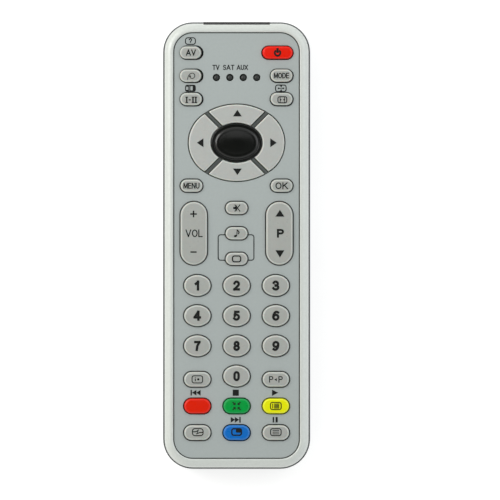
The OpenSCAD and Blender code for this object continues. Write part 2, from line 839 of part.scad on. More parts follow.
module lower_shell() {
    color("#6C6F71") difference() {
        union() {
            difference() {
                lower_case();
                lower_hollow(back_wall, part_z + over);
            }
            carry_round(body_w, body_l, corner_r) lip_profile();
            translate([-bay_out, bay_y0 - bay_wall, back_wall / 2])
                cube([2 * bay_out, bay_y1 - bay_y0 + 2 * bay_wall, board_z - back_wall / 2]);
            for (s = [-1, 1]) translate([s * boss_x, boss_y, back_wall / 2])
                cylinder(r = lower_boss_r, h = boss_split_z - back_wall / 2);
            for (s = [-1, 1], y = post_rows) translate([s * post_x, y, back_wall / 2])
                cylinder(r = post_r, h = board_z - back_wall / 2);
        }
        // the bay, with a divider left between the cells
        difference() {
            translate([-bay_half, bay_y0, -over])
                cube([2 * bay_half, bay_y1 - bay_y0, roof_z + over]);
            translate([-divider_half, bay_y0 + divider_end, cell_z])
                cube([2 * divider_half, bay_y1 - bay_y0 - 2 * divider_end, roof_z]);
        }
        // slots for the contacts' tails
        for (s = [-1, 1])
            translate([s * cell_x - tail_half - tail_gap, bay_y1 - plate_t - tail_gap, roof_z - over])
                cube([2 * (tail_half + tail_gap), plate_t + tail_gap, bay_wall + 2 * over]);
        // the door's opening, its tongues' slots and its end
        translate([-bay_half, door_y0, -over])
            cube([2 * bay_half, door_y1 + door_gap - door_y0, back_wall + over + door_gap]);
        translate([-tongue_half - door_gap, -body_l / 2 - over, door_split_z - tongue_gap])
            cube([2 * (tongue_half + door_gap), body_l / 2 + over + door_y1 + door_gap,
                  back_wall + door_gap - door_split_z + tongue_gap]);
        translate([-tongue_half - door_gap, -body_l / 2 - over, -over])
            cube([2 * (tongue_half + door_gap), body_l / 2 + over + door_y0 + door_gap,
                  back_wall + over + door_gap]);
        translate([-tongue_half - door_gap, -body_l / 2 - over, -over])
            cube([2 * (tongue_half + door_gap), end_room + over, door_end_z + door_gap + over]);
        hook_path();
        for (s = [-1, 1]) translate([s * boss_x, boss_y, 0]) {
            translate([0, 0, -over]) cylinder(r = head_r + head_gap, h = head_z + head_h + over);
            cylinder(r = screw_r + screw_hole_gap, h = boss_split_z + over);
        }
    }
}

// Sliding door: a panel with side tongues, a curved end that closes the case and a hook
module battery_door() {
    color("#626567") difference() {
        union() {
            translate([-door_w / 2, door_y0, door_sink])
                cube([door_w, door_y1 - door_y0, back_wall - door_sink]);
            translate([-tongue_half, door_y0, door_split_z])
                cube([2 * tongue_half, door_y1 - door_y0, back_wall - door_split_z]);
            intersection() {
                difference() {
                    lower_case();
                    lower_hollow(back_wall, part_z + over);
                }
                translate([-tongue_half, -body_l / 2 - over, door_sink])
                    cube([2 * tongue_half, body_l / 2 + over + door_y0 + overlap, back_wall - door_sink]);
            }
            intersection() {
                difference() {
                    lower_case();
                    lower_hollow(back_wall, part_z + over);
                }
                translate([-tongue_half, -body_l / 2 - over, door_sink])
                    cube([2 * tongue_half, end_depth + over, door_end_z - door_sink]);
            }
            translate([-hook_half, door_y1 - hook_root, back_wall - overlap])
                cube([2 * hook_half, hook_root, hook_gap + hook_t + overlap]);
            translate([-hook_half, door_y1 - hook_root, back_wall + hook_gap])
                cube([2 * hook_half, hook_l + hook_root, hook_t]);
        }
        for (n = [0:grip_count - 1]) translate([0, door_y1 - grip_start - n * grip_pitch, door_sink])
            rotate([0, 90, 0]) translate([0, 0, -grip_half]) cylinder(r = grip_r, h = 2 * grip_half);
    }
}

// A cell standing along +Y from y = 0, its raised terminal last
module cell() {
    translate([0, 0, cell_z]) rotate([-90, 0, 0]) rotate_extrude() {
        square([cell_d / 2, cell_l - nub_h]);
        square([nub_r, cell_l]);
    }
}

cell_y = bay_y1 - plate_t - cell_l;
module battery_left() {
    color("#3E6F9E") translate([-cell_x, cell_y, 0]) cell();
}
module battery_right() {
    color("#3E6F9E") translate([cell_x, bay_y0 + plate_t + cell_l, 0]) rotate(180) cell();
}

module contact_plate(x, y, reach) {
    translate([x - reach, y, plate_z0]) cube([2 * reach, plate_t, roof_z - tail_gap - plate_z0]);
}

module tail(x) {
    z0 = roof_z - tail_gap - overlap;
    translate([x - tail_half, bay_y1 - plate_t, z0]) cube([2 * tail_half, plate_t, board_z - z0]);
}

module positive_plate() {
    color("#C9CBCB") {
        contact_plate(-cell_x, bay_y1 - plate_t, plate_half);
        tail(-cell_x);
    }
}

module negative_plate() {
    color("#C9CBCB") {
        contact_plate(cell_x, bay_y1 - plate_t, plate_half);
        tail(cell_x);
    }
}

module bridge_plate() {
    color("#C9CBCB") contact_plate(0, bay_y0, cell_x + plate_half);
}

// A conical spring: points on its helix, then a tube of six sides swept along them
spring_rings = 8;
spring_sides = 6;
spring_fit = 0.05;
function spring_steps() = spring_rings * spring_turns;
function spring_point(i) = let (t = i / spring_steps(), r = spring_r0 + (spring_r1 - spring_r0) * t)
    [r * cos(360 * spring_turns * t), spring_fit + wire_d / 2 + t * (spring_len - wire_d - 2 * spring_fit),
     r * sin(360 * spring_turns * t)];
function spring_ring(i) = let (a = 360 * i / spring_rings, p = spring_point(i), out = [cos(a), 0, sin(a)])
    [for (k = [0:spring_sides - 1]) let (b = 360 * k / spring_sides)
        p + wire_d / 2 * (out * cos(b) + [0, sin(b), 0])];
function turn_gap() = min([for (i = [0:spring_steps() - spring_rings])
    norm(spring_point(i + spring_rings) - spring_point(i)) - wire_d]);
echo(least_gap_between_spring_turns_mm = turn_gap());

module spring() {
    last = spring_steps();
    side = function (i, k) i * spring_sides + k % spring_sides;
    polyhedron(
        points = [for (i = [0:last]) each spring_ring(i)],
        faces = concat(
            [for (i = [0:last - 1], k = [0:spring_sides - 1]) each [
                [side(i, k), side(i, k + 1), side(i + 1, k)],
                [side(i, k + 1), side(i + 1, k + 1), side(i + 1, k)]]],
            [for (k = [1:spring_sides - 2]) [side(0, 0), side(0, k + 1), side(0, k)]],
            [for (k = [1:spring_sides - 2]) [side(last, 0), side(last, k), side(last, k + 1)]]));
}

module contact_springs() {
    color("#D7D9D9") {
        translate([-cell_x, bay_y0 + plate_t, cell_z]) spring();
        translate([cell_x, bay_y1 - plate_t, cell_z]) rotate(180) spring();
    }
}

module case_screws() {
    color("#9A9C9E") for (s = [-1, 1]) translate([s * boss_x, boss_y, head_z]) difference() {
        rotate_extrude() {
            square([head_r, head_h]);
            square([screw_r, screw_end_z - head_z - screw_r]);
            polygon([[0, head_h], [screw_r, screw_end_z - head_z - screw_r], [0, screw_end_z - head_z]]);
        }
        for (t = [0, 90]) rotate(t) translate([-cross_half, -cross_w / 2, -over])
            cube([2 * cross_half, cross_w, over + cross_h]);
    }
}

upper_shell();
faceplate();
ir_window();
direction_frame();
centre_cap();
keypad_mat();
circuit_board();
mode_leds();
ir_led();
controller_chip();
resonator();
storage_capacitor();
drive_transistor();
chip_resistors();
lower_shell();
battery_door();
battery_left();
battery_right();
positive_plate();
negative_plate();
bridge_plate();
contact_springs();
case_screws();
for (k = KEYS) key(k, crown_r);
for (k = ROCKERS) key(k, rocker_crown_r);
for (d = DIRECTIONS) direction_key(d[1], d[2]);
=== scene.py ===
"""Looks of the universal remote control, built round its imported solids.

The key caps, the direction pad, the face, the prints, the cells and the springs are surfaces
worked out here. The case halves, the board and the small parts stay as packed and get finishes.
Lengths in this file are millimetres and become metres only when a mesh is made.
"""
from __future__ import annotations

import logging
import math
from collections.abc import Callable
from dataclasses import dataclass, field, replace
from enum import Enum

import bpy
import numpy as np
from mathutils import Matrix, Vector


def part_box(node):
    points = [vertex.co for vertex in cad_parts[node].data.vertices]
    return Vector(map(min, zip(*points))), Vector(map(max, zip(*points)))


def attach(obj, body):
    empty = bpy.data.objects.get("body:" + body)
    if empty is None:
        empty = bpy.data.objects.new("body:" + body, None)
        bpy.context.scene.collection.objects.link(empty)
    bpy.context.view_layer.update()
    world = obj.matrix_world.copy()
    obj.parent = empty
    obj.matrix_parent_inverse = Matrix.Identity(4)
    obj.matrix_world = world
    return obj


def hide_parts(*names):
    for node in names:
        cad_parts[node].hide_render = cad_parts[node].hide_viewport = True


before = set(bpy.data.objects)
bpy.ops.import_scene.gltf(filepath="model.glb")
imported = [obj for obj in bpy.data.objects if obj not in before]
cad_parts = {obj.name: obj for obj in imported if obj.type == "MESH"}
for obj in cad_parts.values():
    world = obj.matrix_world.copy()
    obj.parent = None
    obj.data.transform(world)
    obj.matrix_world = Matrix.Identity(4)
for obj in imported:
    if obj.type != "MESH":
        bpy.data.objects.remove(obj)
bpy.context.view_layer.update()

MM = 0.001
CASE = "case"
# Point attribute that places a finish's edge colour: painted highlight on key edges, painted shade in the
# screws' crosses
PAINTED_LIGHT_MARK = "edge"
Surface = Callable[[np.ndarray], np.ndarray]
Mesh = tuple[np.ndarray, list[list[int]]]
Colour = tuple[float, float, float, float]
Tree = bpy.types.NodeTree
Socket = bpy.types.NodeSocket
log = logging.getLogger("remote")


# Small helpers


def linear(hex_colour: str) -> Colour:
    """Turns an sRGB hex colour into linear RGBA.

    Args:
        hex_colour: Six hex digits with a leading hash.

    Returns:
        Red, green, blue and an alpha of one.
    """
    srgb = np.array([int(hex_colour[i:i + 2], 16) for i in (1, 3, 5)]) / 255
    flat = np.where(srgb <= 0.04045, srgb / 12.92, ((srgb + 0.055) / 1.055) ** 2.4)
    return (*flat.tolist(), 1.0)


def box_mm(node: str) -> tuple[np.ndarray, np.ndarray]:
    """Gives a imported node's lowest and highest corner in millimetres."""
    low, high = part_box(node)
    return np.array(low) / MM, np.array(high) / MM


def raised(flat: np.ndarray, height: np.ndarray) -> np.ndarray:
    """Gives each flat point its height as a third number."""
    return np.concatenate([flat, height[..., None]], axis=-1)


def level_at(height: float) -> Surface:
    """Gives the height function of a level surface."""
    return lambda flat: np.full(len(flat), height)


def quarter_round(steps: int) -> tuple[np.ndarray, np.ndarray]:
    """A quarter circle of radius one: how far it has gone in and how far it lies below its top.

    Args:
        steps: Number of points.

    Returns:
        One minus the cosine of evenly spaced angles up to 90 degrees, and one minus their sine.
    """
    turn = np.radians(np.linspace(0, 90, steps))
    return 1 - np.cos(turn), 1 - np.sin(turn)


def eased(count: int) -> np.ndarray:
    """Shares from zero to one, closer together near both ends."""
    return (1 - np.cos(np.linspace(0, np.pi, count))) / 2


def full_turn(count: int) -> np.ndarray:
    """Evenly spaced angles all the way round, in radians."""
    return np.linspace(0, 2 * np.pi, count, endpoint=False)


def unit(turn: np.ndarray) -> np.ndarray:
    """Points on a flat circle of radius one: the cosine and the sine of each angle."""
    return np.stack([np.cos(turn), np.sin(turn)], axis=-1)


def upright(turn: np.ndarray) -> np.ndarray:
    """Points on a circle of radius one round the y axis: cosine along x, sine along z."""
    return np.insert(unit(turn), 1, 0.0, axis=-1)


def linked(name: str, data: bpy.types.ID) -> bpy.types.Object:
    """Makes an object of some data and puts it into the scene."""
    made = bpy.data.objects.new(name, data)
    bpy.context.scene.collection.objects.link(made)
    return made


# Shader nodes


MIX_SHARE = 0
MIX_FIRST = 6
MIX_SECOND = 7
MIX_RESULT = 2


def fill(tree: Tree, node: bpy.types.Node, inputs: dict) -> None:
    """Gives a node's inputs their values, or links them to the sockets that stand for values.

    Args:
        tree: The node tree.
        node: The node.
        inputs: Values or output sockets by input name or number.
    """
    for name, value in inputs.items():
        if isinstance(value, Socket):
            tree.links.new(value, node.inputs[name])
        else:
            node.inputs[name].default_value = value


def add_node(tree: Tree, kind: str, settings: dict | None = None,
             inputs: dict | None = None) -> bpy.types.Node:
    """Adds a shader node, sets its options and fills its inputs.

    Args:
        tree: The node tree.
        kind: Blender's name of the node type.
        settings: Options of the node by attribute name.
        inputs: Values or output sockets by input name or number.

    Returns:
        The new node.
    """
    node = tree.nodes.new(kind)
    for name, value in (settings or {}).items():
        setattr(node, name, value)
    fill(tree, node, inputs or {})
    return node


def mapped(tree: Tree, value: Socket, span: tuple[float, float],
           onto: tuple[float, float] = (0.0, 1.0), curve: str = "LINEAR") -> Socket:
    """Maps a value from one span onto another and keeps it inside.

    Args:
        tree: The node tree.
        value: What is mapped.
        span: Where it lies.
        onto: Where it goes.
        curve: Blender's name of the interpolation.

    Returns:
        The mapped value.
    """
    node = add_node(tree, "ShaderNodeMapRange", {"interpolation_type": curve},
                    {"Value": value, "From Min": span[0], "From Max": span[1],
                     "To Min": onto[0], "To Max": onto[1]})
    return node.outputs["Result"]


def mixed(tree: Tree, share: Socket, first: Colour | Socket, second: Colour) -> Socket:
    """Mixes two colours by a share; the node's sockets for colours are known by number."""
    node = add_node(tree, "ShaderNodeMix", {"data_type": "RGBA"},
                    {MIX_SHARE: share, MIX_FIRST: first, MIX_SECOND: second})
    return node.outputs[MIX_RESULT]


def noise(tree: Tree, place: Socket, size_mm: float, octaves: int) -> Socket:
    """Adds noise whose features are about one size wide.

    Args:
        tree: The node tree.
        place: Object coordinates.
        size_mm: Width of a feature.
        octaves: How many finer octaves are added.

    Returns:
        The noise's value, mostly between 0.3 and 0.7.
    """
    inputs = {"Vector": place, "Scale": 1 / (size_mm * MM), "Detail": octaves}
    return add_node(tree, "ShaderNodeTexNoise", None, inputs).outputs["Fac"]


# Finishes


SCATTER_MM = 0.5
PATCH_OCTAVES = 3
GRAIN_OCTAVES = 2
TINT_SPAN = (0.35, 0.65)
GLOSS_SPAN = (0.3, 0.7)


@dataclass(frozen=True)
class Finish:
    """A real material: its colours, its gloss and the grain that its making leaves.

    Patches are slow changes of colour and gloss, and grain is the relief of the surface. Both are
    noise on object coordinates with a size in millimetres. Edge is a colour painted where a piece
    marks it: a painted highlight on rounded edges, or painted shade at the bottom of hollows. Slot
    is a name for the material that nothing here reads.
    """

    name: str
    base: str
    shade: str
    roughness: float
    patch_mm: float
    grain_mm: float
    relief_mm: float
    roughness_spread: float = 0.08
    metallic: float = 0.0
    ior: float = 1.5
    subsurface: float = 0.0
    transmission: float = 0.0
    glow: float = 0.0
    edge: str = ""
    slot: str = ""

    def material(self) -> bpy.types.Material:
        """Returns the Blender material, made once for each name."""
        known = bpy.data.materials.get(self.name)
        if known:
            return known
        made = bpy.data.materials.new(self.name)
        made.use_nodes = True
        tree = made.node_tree
        place = add_node(tree, "ShaderNodeTexCoord").outputs["Object"]
        drift = noise(tree, place, self.patch_mm, PATCH_OCTAVES)
        gloss = (self.roughness - self.roughness_spread, self.roughness + self.roughness_spread)
        fill(tree, tree.nodes["Principled BSDF"], {
            "Base Color": self.tint(tree, drift),
            "Roughness": mapped(tree, drift, GLOSS_SPAN, gloss),
            "Normal": self.relief(tree, place),
            "Metallic": self.metallic,
            "IOR": self.ior,
            "Subsurface Weight": self.subsurface,
            "Subsurface Scale": SCATTER_MM * MM,
            "Transmission Weight": self.transmission,
            "Emission Color": linear(self.base),
            "Emission Strength": self.glow})
        return made

    def tint(self, tree: Tree, drift: Socket) -> Socket:
        """Drifts the colour from base to shade over the patches, with the edge colour, a painted
        highlight or painted shade, on its marks.
        """
        patchy = mixed(tree, mapped(tree, drift, TINT_SPAN), linear(self.base), linear(self.shade))
        if not self.edge:
            return patchy
        mark = add_node(tree, "ShaderNodeAttribute", {"attribute_name": PAINTED_LIGHT_MARK}).outputs["Fac"]
        return mixed(tree, mark, patchy, linear(self.edge))

    def relief(self, tree: Tree, place: Socket) -> Socket:
        """Raises the surface by fine noise as deep as the relief."""
        height = noise(tree, place, self.grain_mm, GRAIN_OCTAVES)
        bump = add_node(tree, "ShaderNodeBump", None,
                        {"Height": height, "Strength": 1.0, "Distance": self.relief_mm * MM})
        return bump.outputs["Normal"]


# Silver lacquer on moulded ABS: fine flakes give a pale, slightly metallic glow on the rim
SILVER_LACQUER = Finish("silver_lacquer_on_abs", "#CACECA", "#C6CAC6", 0.42, 0.8, 0.3, 0.002,
                        metallic=0.15)
# Satin grey lacquer on the inlaid ABS face: even, with the faint mottle of sprayed paint
GREY_LACQUER = Finish("satin_grey_lacquer_on_abs", "#9EA5A4", "#9CA3A2", 0.5, 0.9, 0.3, 0.002,
                      slot="face_grey")
# Spark-eroded dark ABS of the lower half: matt, with a fine pebble that softens highlights
DARK_ABS = Finish("spark_eroded_dark_abs", "#585B5C", "#525556", 0.55, 1.4, 0.5, 0.025)
# The same ABS where the mould was polished, for raised marks: smoother and a little brighter
POLISHED_DARK_ABS = Finish("polished_dark_abs", "#5E6162", "#5B5E5F", 0.22, 3.0, 1.0, 0.002,
                           slot="dark_case")
# Grey silicone rubber of the keys: matt and slightly waxy, light scatters a little inside it, and
# its rounded edges carry a paler edge colour, a painted highlight for the thin ring of light they catch
GREY_SILICONE = Finish("moulded_grey_silicone", "#9FA19D", "#9C9E9A", 0.34, 1.5, 0.25, 0.004,
                       ior=1.41, subsurface=0.08, edge="#BCBFB9", slot="key_grey")
# A paler batch of the same rubber for the four direction keys
# Its paler edge colour is a painted highlight as well
PAD_SILICONE = replace(GREY_SILICONE, name="moulded_pale_grey_silicone", base="#AAACA9",
                       shade="#A7A9A6", edge="#C2C5BF")
# Pigmented silicone of the power key and the four colour keys: strong, even colour, less sheen, and a
# lighter edge colour that is a painted highlight
POWER_SILICONE = replace(GREY_SILICONE, name="moulded_signal_red_silicone", base="#D61800",
                         shade="#D21600", ior=1.33, edge="#E61E10", slot="key_power_red")
RED_SILICONE = replace(POWER_SILICONE, name="moulded_red_silicone", base="#D01D00",
                       shade="#CC1B00", edge="#DE2818", slot="key_red")
GREEN_SILICONE = replace(POWER_SILICONE, name="moulded_green_silicone", base="#00913A",
                         shade="#008E38", edge="#209A52", slot="key_green")
YELLOW_SILICONE = replace(POWER_SILICONE, name="moulded_yellow_silicone", base="#DADB00",
                          shade="#D6D700", edge="#E4E52E", slot="key_yellow")
BLUE_SILICONE = replace(POWER_SILICONE, name="moulded_blue_silicone", base="#0E65B6",
                        shade="#0D62B2", edge="#3378C4", slot="key_blue")
# Polished black ABS of the centre cap: deep colour with clear reflections
GLOSS_BLACK_ABS = Finish("polished_black_abs", "#060806", "#090B09", 0.2, 8.0, 2.0, 0.002,
                         roughness_spread=0.03, slot="gloss_black")
# Black ABS of the pad's carrier, straight from the mould
BLACK_ABS = Finish("moulded_black_abs", "#525755", "#4E5351", 0.5, 3.0, 0.4, 0.006)
# A dark grey matt sheet at the bottom of the groove round the face: painted shade in the groove
GROOVE_SHADE_SHEET = Finish("grey_painted_groove_shade", "#4E5351", "#474C4A", 0.7, 1.5, 0.3, 0.004)
# Screen-printed ink: dead matt, a little thin in places
INK = Finish("screen_printed_black_ink", "#070908", "#0C0E0D", 0.75, 0.8, 0.2, 0.002, ior=1.35)
# White ink on the cells' film: satin, a little thin over the dark film
PALE_INK = Finish("printed_white_ink", "#D5D7D4", "#C9CBC8", 0.5, 0.8, 0.3, 0.002)
# Infrared-passing acrylic: nearly black with a hint of red, and dulled where it is handled
INFRARED_ACRYLIC = Finish("infrared_black_acrylic", "#120D0F", "#0E0A0B", 0.22, 8.0, 3.0, 0.002,
                          roughness_spread=0.03, ior=1.3, slot="window_black")
# Smoked epoxy of the mode lights
SMOKED_EPOXY = Finish("smoked_epoxy", "#131816", "#101513", 0.45, 1.0, 0.6, 0.003, ior=1.54)
# Clear violet epoxy of the infrared light
VIOLET_EPOXY = Finish("violet_epoxy", "#4E4058", "#453850", 0.15, 2.0, 1.0, 0.002, ior=1.54,
                      transmission=0.4)
# Glass-fibre board under green solder mask: the weave shows as faint patches
SOLDER_MASK = Finish("green_solder_mask", "#2C6437", "#25562F", 0.3, 0.8, 0.5, 0.01, ior=1.55)
# Black epoxy of the chip, the transistor and the resistors
CHIP_EPOXY = Finish("moulded_chip_epoxy", "#1C1D1E", "#242527", 0.6, 1.0, 0.2, 0.008)
# Dipped ceramic of the resonator
DIPPED_CERAMIC = Finish("dipped_amber_ceramic", "#B9832F", "#AC7828", 0.3, 2.0, 0.8, 0.01)
# Shrunk film on the capacitor
BLUE_FILM = Finish("shrunk_blue_film", "#273054", "#222A4B", 0.28, 2.0, 1.0, 0.006)
# Nickel-plated spring steel of the contacts
NICKEL_PLATE = Finish("nickel_plated_steel", "#C9C7BF", "#BDBBB3", 0.25, 3.0, 0.3, 0.003, metallic=1.0,
                      slot="plated_steel")
# Zinc-plated steel of the screws: dull silver, with a dark edge colour painted as shade at the bottom of
# the cross
ZINC_PLATE = Finish("zinc_plated_steel", "#A9ABAC", "#9B9D9F", 0.35, 1.5, 0.3, 0.004, metallic=1.0,
                    edge="#3B3C3D", slot="screw_steel")
# Printed film round a cell: graphite, with a copper-coloured end that shines like metal
GRAPHITE_FILM = Finish("graphite_printed_film", "#25282B", "#2B2E32", 0.3, 5.0, 1.5, 0.004,
                       slot="cell_wrap")
COPPER_FILM = Finish("copper_printed_film", "#B06B3A", "#A66333", 0.3, 5.0, 1.5, 0.004, metallic=0.5,
                     slot="cell_wrap")


# Flat outlines


def arc(centre: tuple[float, float], radius: float, start: float, stop: float,
        count: int) -> np.ndarray:
    """Points on an arc: centre plus radius times the cosine and sine of evenly spaced angles.

    Args:
        centre: The arc's centre.
        radius: Its radius.
        start: First angle in degrees.
        stop: Last angle in degrees.
        count: Number of points.

    Returns:
        An array of points, one row each.
    """
    return unit(np.radians(np.linspace(start, stop, count))) * radius + np.array(centre)


def whole_circle(radius: float, count: int) -> np.ndarray:
    """Evenly spaced points all the way round a circle at the origin."""
    return unit(full_turn(count)) * radius


def stretch(a: np.ndarray, b: np.ndarray, count: int) -> np.ndarray:
    """Points inside the straight line from one point to another, without its ends."""
    share = np.linspace(0, 1, count + 2)[1:-1, None]
    return a + (b - a) * share


def round_box(width: float, height: float, radius: float, count: int = 12) -> np.ndarray:
    """A rectangle with round corners, run round anticlockwise: four quarter arcs in a row.

    Args:
        width: Size along x.
        height: Size along y.
        radius: Corner radius.
        count: Points on each corner.

    Returns:
        An array of points, centred on the origin.
    """
    x = width / 2 - radius
    y = height / 2 - radius
    return np.concatenate([arc((x, y), radius, 0, 90, count), arc((-x, y), radius, 90, 180, count),
                           arc((-x, -y), radius, 180, 270, count), arc((x, -y), radius, 270, 360, count)])


@dataclass(frozen=True)
class Outline:
    """A closed outline, run round anticlockwise, with the direction it faces at each point."""

    points: np.ndarray
    facing: np.ndarray

    def grown(self, amount: float) -> np.ndarray:
        """The outline's points moved outwards by some amount."""
        return self.points + self.facing * amount

    def ring(self, amount: float, height: float) -> np.ndarray:
        """The outline moved outwards by some amount, at one height."""
        return raised(self.grown(amount), np.full(len(self.points), height))


OVAL_FULLNESS = 1.1
OVAL_POINTS = 120
PILL_END_POINTS = 33
PILL_SIDE_POINTS = 14


class Form(Enum):
    """The two outlines that keys have."""

    PILL = "pill"
    OVAL = "oval"

    def outline(self, width: float, height: float) -> Outline:
        """Works out this form's outline for one size.

        A pill is two half circles joined by straight lines. An oval is four arcs that meet
        smoothly, so the point that faces an angle lies on an end arc near the x axis and on a
        flatter side arc elsewhere.

        Args:
            width: Size along x.
            height: Size along y.

        Returns:
            The outline, centred on the origin.
        """
        if self is Form.OVAL:
            return oval_outline(width, height)
        radius = min(width, height) / 2
        reach = abs(width - height) / 2
        right = arc((reach, 0), radius, -90, 90, PILL_END_POINTS)
        left = arc((-reach, 0), radius, 90, 270, PILL_END_POINTS)
        points = np.concatenate([right, stretch(right[-1], left[0], PILL_SIDE_POINTS),
                                 left, stretch(left[-1], right[0], PILL_SIDE_POINTS)])
        axis = np.stack([np.clip(points[:, 0], -reach, reach), np.zeros(len(points))], axis=1)
        facing = (points - axis) / radius
        if height > width:
            points = points[:, ::-1] * np.array([-1, 1])
            facing = facing[:, ::-1] * np.array([-1, 1])
        return Outline(points, facing)


def oval_outline(width: float, height: float) -> Outline:
    """A four-arc oval: end arcs a little rounder than an ellipse's and the side arcs they meet.

    The side radius follows from the two arcs being tangent, and the arcs change where the
    direction to both centres is the same.

    Args:
        width: Size along x.
        height: Size along y.

    Returns:
        The outline, with points at evenly spaced facing angles.
    """
    end = OVAL_FULLNESS * height * height / width / 2
    side = ((width / 2 - end) ** 2 + height ** 2 / 4 - end ** 2) / (height - 2 * end)
    change = math.atan2(side - height / 2, width / 2 - end)
    facing = unit(full_turn(OVAL_POINTS))
    on_end = np.abs(facing[:, 1]) < math.sin(change)
    zero = np.zeros(OVAL_POINTS)
    end_axis = np.stack([np.sign(facing[:, 0]) * (width / 2 - end), zero], axis=1)
    side_axis = np.stack([zero, np.sign(facing[:, 1]) * (height / 2 - side)], axis=1)
    points = np.where(on_end[:, None], end_axis + end * facing, side_axis + side * facing)
    return Outline(points, facing)


# Meshes


CREASE = 35.0


def make_piece(name: str, points: np.ndarray, faces: list[list[int]], finish: Finish,
               body: str = CASE, edge: np.ndarray | None = None) -> bpy.types.Object:
    """Makes a piece from points and faces, shades it smooth up to a crease and lets it ride.

    Args:
        name: The piece's name.
        points: One row per point, in millimetres.
        faces: Point numbers of each face, anticlockwise seen from outside.
        finish: What it is made of.
        body: The body it rides on.
        edge: How much each point shows the finish's edge colour, a painted highlight or painted shade,
            from 0 to 1.

    Returns:
        The object, at the origin.
    """
    mesh = bpy.data.meshes.new(name)
    mesh.from_pydata((points * MM).tolist(), [], faces)
    mesh.shade_smooth()
    mesh.set_sharp_from_angle(angle=math.radians(CREASE))
    if edge is not None:
        mesh.attributes.new(PAINTED_LIGHT_MARK, "FLOAT", "POINT").data.foreach_set("value", edge)
    mesh.materials.append(finish.material())
    piece = linked(name, mesh)
    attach(piece, body)
    log.info("%s: %d faces of %s on %s", name, len(faces), finish.name, body)
    return piece


def loft(rings: np.ndarray) -> Mesh:
    """Skins a stack of closed rings and closes each end with a fan to its middle.

    Args:
        rings: Rings by points by x, y, z; anticlockwise seen from the last ring's side.

    Returns:
        Points and faces of the closed surface.
    """
    count, around, _ = rings.shape
    here = np.arange(count * around).reshape(count, around)
    after = np.roll(here, -1, axis=1)
    quads = np.stack([here[:-1], after[:-1], after[1:], here[1:]], axis=-1).reshape(-1, 4)
    first = np.full(around, count * around)
    start = np.stack([after[0], here[0], first], axis=-1)
    end = np.stack([here[-1], after[-1], first + 1], axis=-1)
    points = np.concatenate([rings.reshape(-1, 3), rings[[0, -1]].mean(axis=1)])
    return points, quads.tolist() + start.tolist() + end.tolist()


def thick_sheet(top: np.ndarray, bottom: np.ndarray) -> Mesh:
    """Closes two grids of the same layout, one above the other, with a wall round their edge.

    Args:
        top: Rows by columns by x, y, z; columns run outwards and rows anticlockwise.
        bottom: The same grid lower down.

    Returns:
        Points and faces of the closed surface.
    """
    rows, columns, _ = top.shape
    at = np.arange(rows * columns).reshape(rows, columns)
    quads = np.stack([at[:-1, :-1], at[:-1, 1:], at[1:, 1:], at[1:, :-1]], axis=-1).reshape(-1, 4)
    edge = np.concatenate([at[:, -1], at[-1, -2::-1], at[-2::-1, 0], at[0, 1:-1]])
    ahead = np.roll(edge, -1)
    below = rows * columns
    wall = np.stack([edge + below, ahead + below, ahead, edge], axis=-1)
    points = np.concatenate([top.reshape(-1, 3), bottom.reshape(-1, 3)])
    return points, quads.tolist() + (quads[:, ::-1] + below).tolist() + wall.tolist()


def joined(first: Mesh, second: Mesh) -> Mesh:
    """Puts two meshes into one: the second's faces count on from the first's points."""
    start = len(first[0])
    moved = [[k + start for k in face] for face in second[1]]
    return np.concatenate([first[0], second[0]]), first[1] + moved


# Prints


INK_RISE = 0.03
INK_STEP = 0.5
INK_SINK = 0.05
INK_LAYER = 0.0004
BLUNT_LEAST = 0.6
BEND_POINTS = 18
BOX_CORNER_POINTS = 8
PANE_CORNER_POINTS = 6
DOT_POINTS = 24
RING_POINTS = 40
CURL_POINTS = 36
HOOK_POINTS = 12


@dataclass(frozen=True)
class Flat:
    """A flat printed shape: points in millimetres and the triangles between them."""

    points: np.ndarray
    triangles: np.ndarray

    def moved(self, x: float, y: float) -> Flat:
        """The same shape in another place."""
        return Flat(self.points + np.array([x, y]), self.triangles)

    def turned(self, degrees: float) -> Flat:
        """The same shape turned anticlockwise about the origin."""
        turn = math.radians(degrees)
        matrix = np.array([[math.cos(turn), math.sin(turn)], [-math.sin(turn), math.cos(turn)]])
        return Flat(self.points @ matrix, self.triangles)


# A sign of several shapes and where it goes
Sign = tuple[list[Flat], float, float]


def slab(points: np.ndarray) -> Flat:
    """A filled convex shape: a fan of triangles from its first point."""
    ahead = np.arange(1, len(points) - 1)
    fan = np.stack([np.zeros_like(ahead), ahead, ahead + 1], axis=1)
    return Flat(np.asarray(points, float), fan)


def finer(path: np.ndarray, closed: bool) -> np.ndarray:
    """Adds points along a path so that a line can follow a crowned key.

    The points lie at every step of the way along the path and at its own corners.

    Args:
        path: The path's corners.
        closed: Whether the last corner joins the first.

    Returns:
        The corners and the points between them.
    """
    run = np.concatenate([path, path[:1]]) if closed else path
    way = np.concatenate([[0.0], np.cumsum(np.linalg.norm(np.diff(run, axis=0), axis=1))])
    marks = np.arange(0, way[-1], INK_STEP)
    near = np.abs(marks[:, None] - way[None, :]).min(axis=1) < INK_STEP / 4
    stops = np.unique(np.concatenate([way, marks[~near]]))
    fine = np.stack([np.interp(stops, way, run[:, axis]) for axis in (0, 1)], axis=1)
    return fine[:-1] if closed else fine


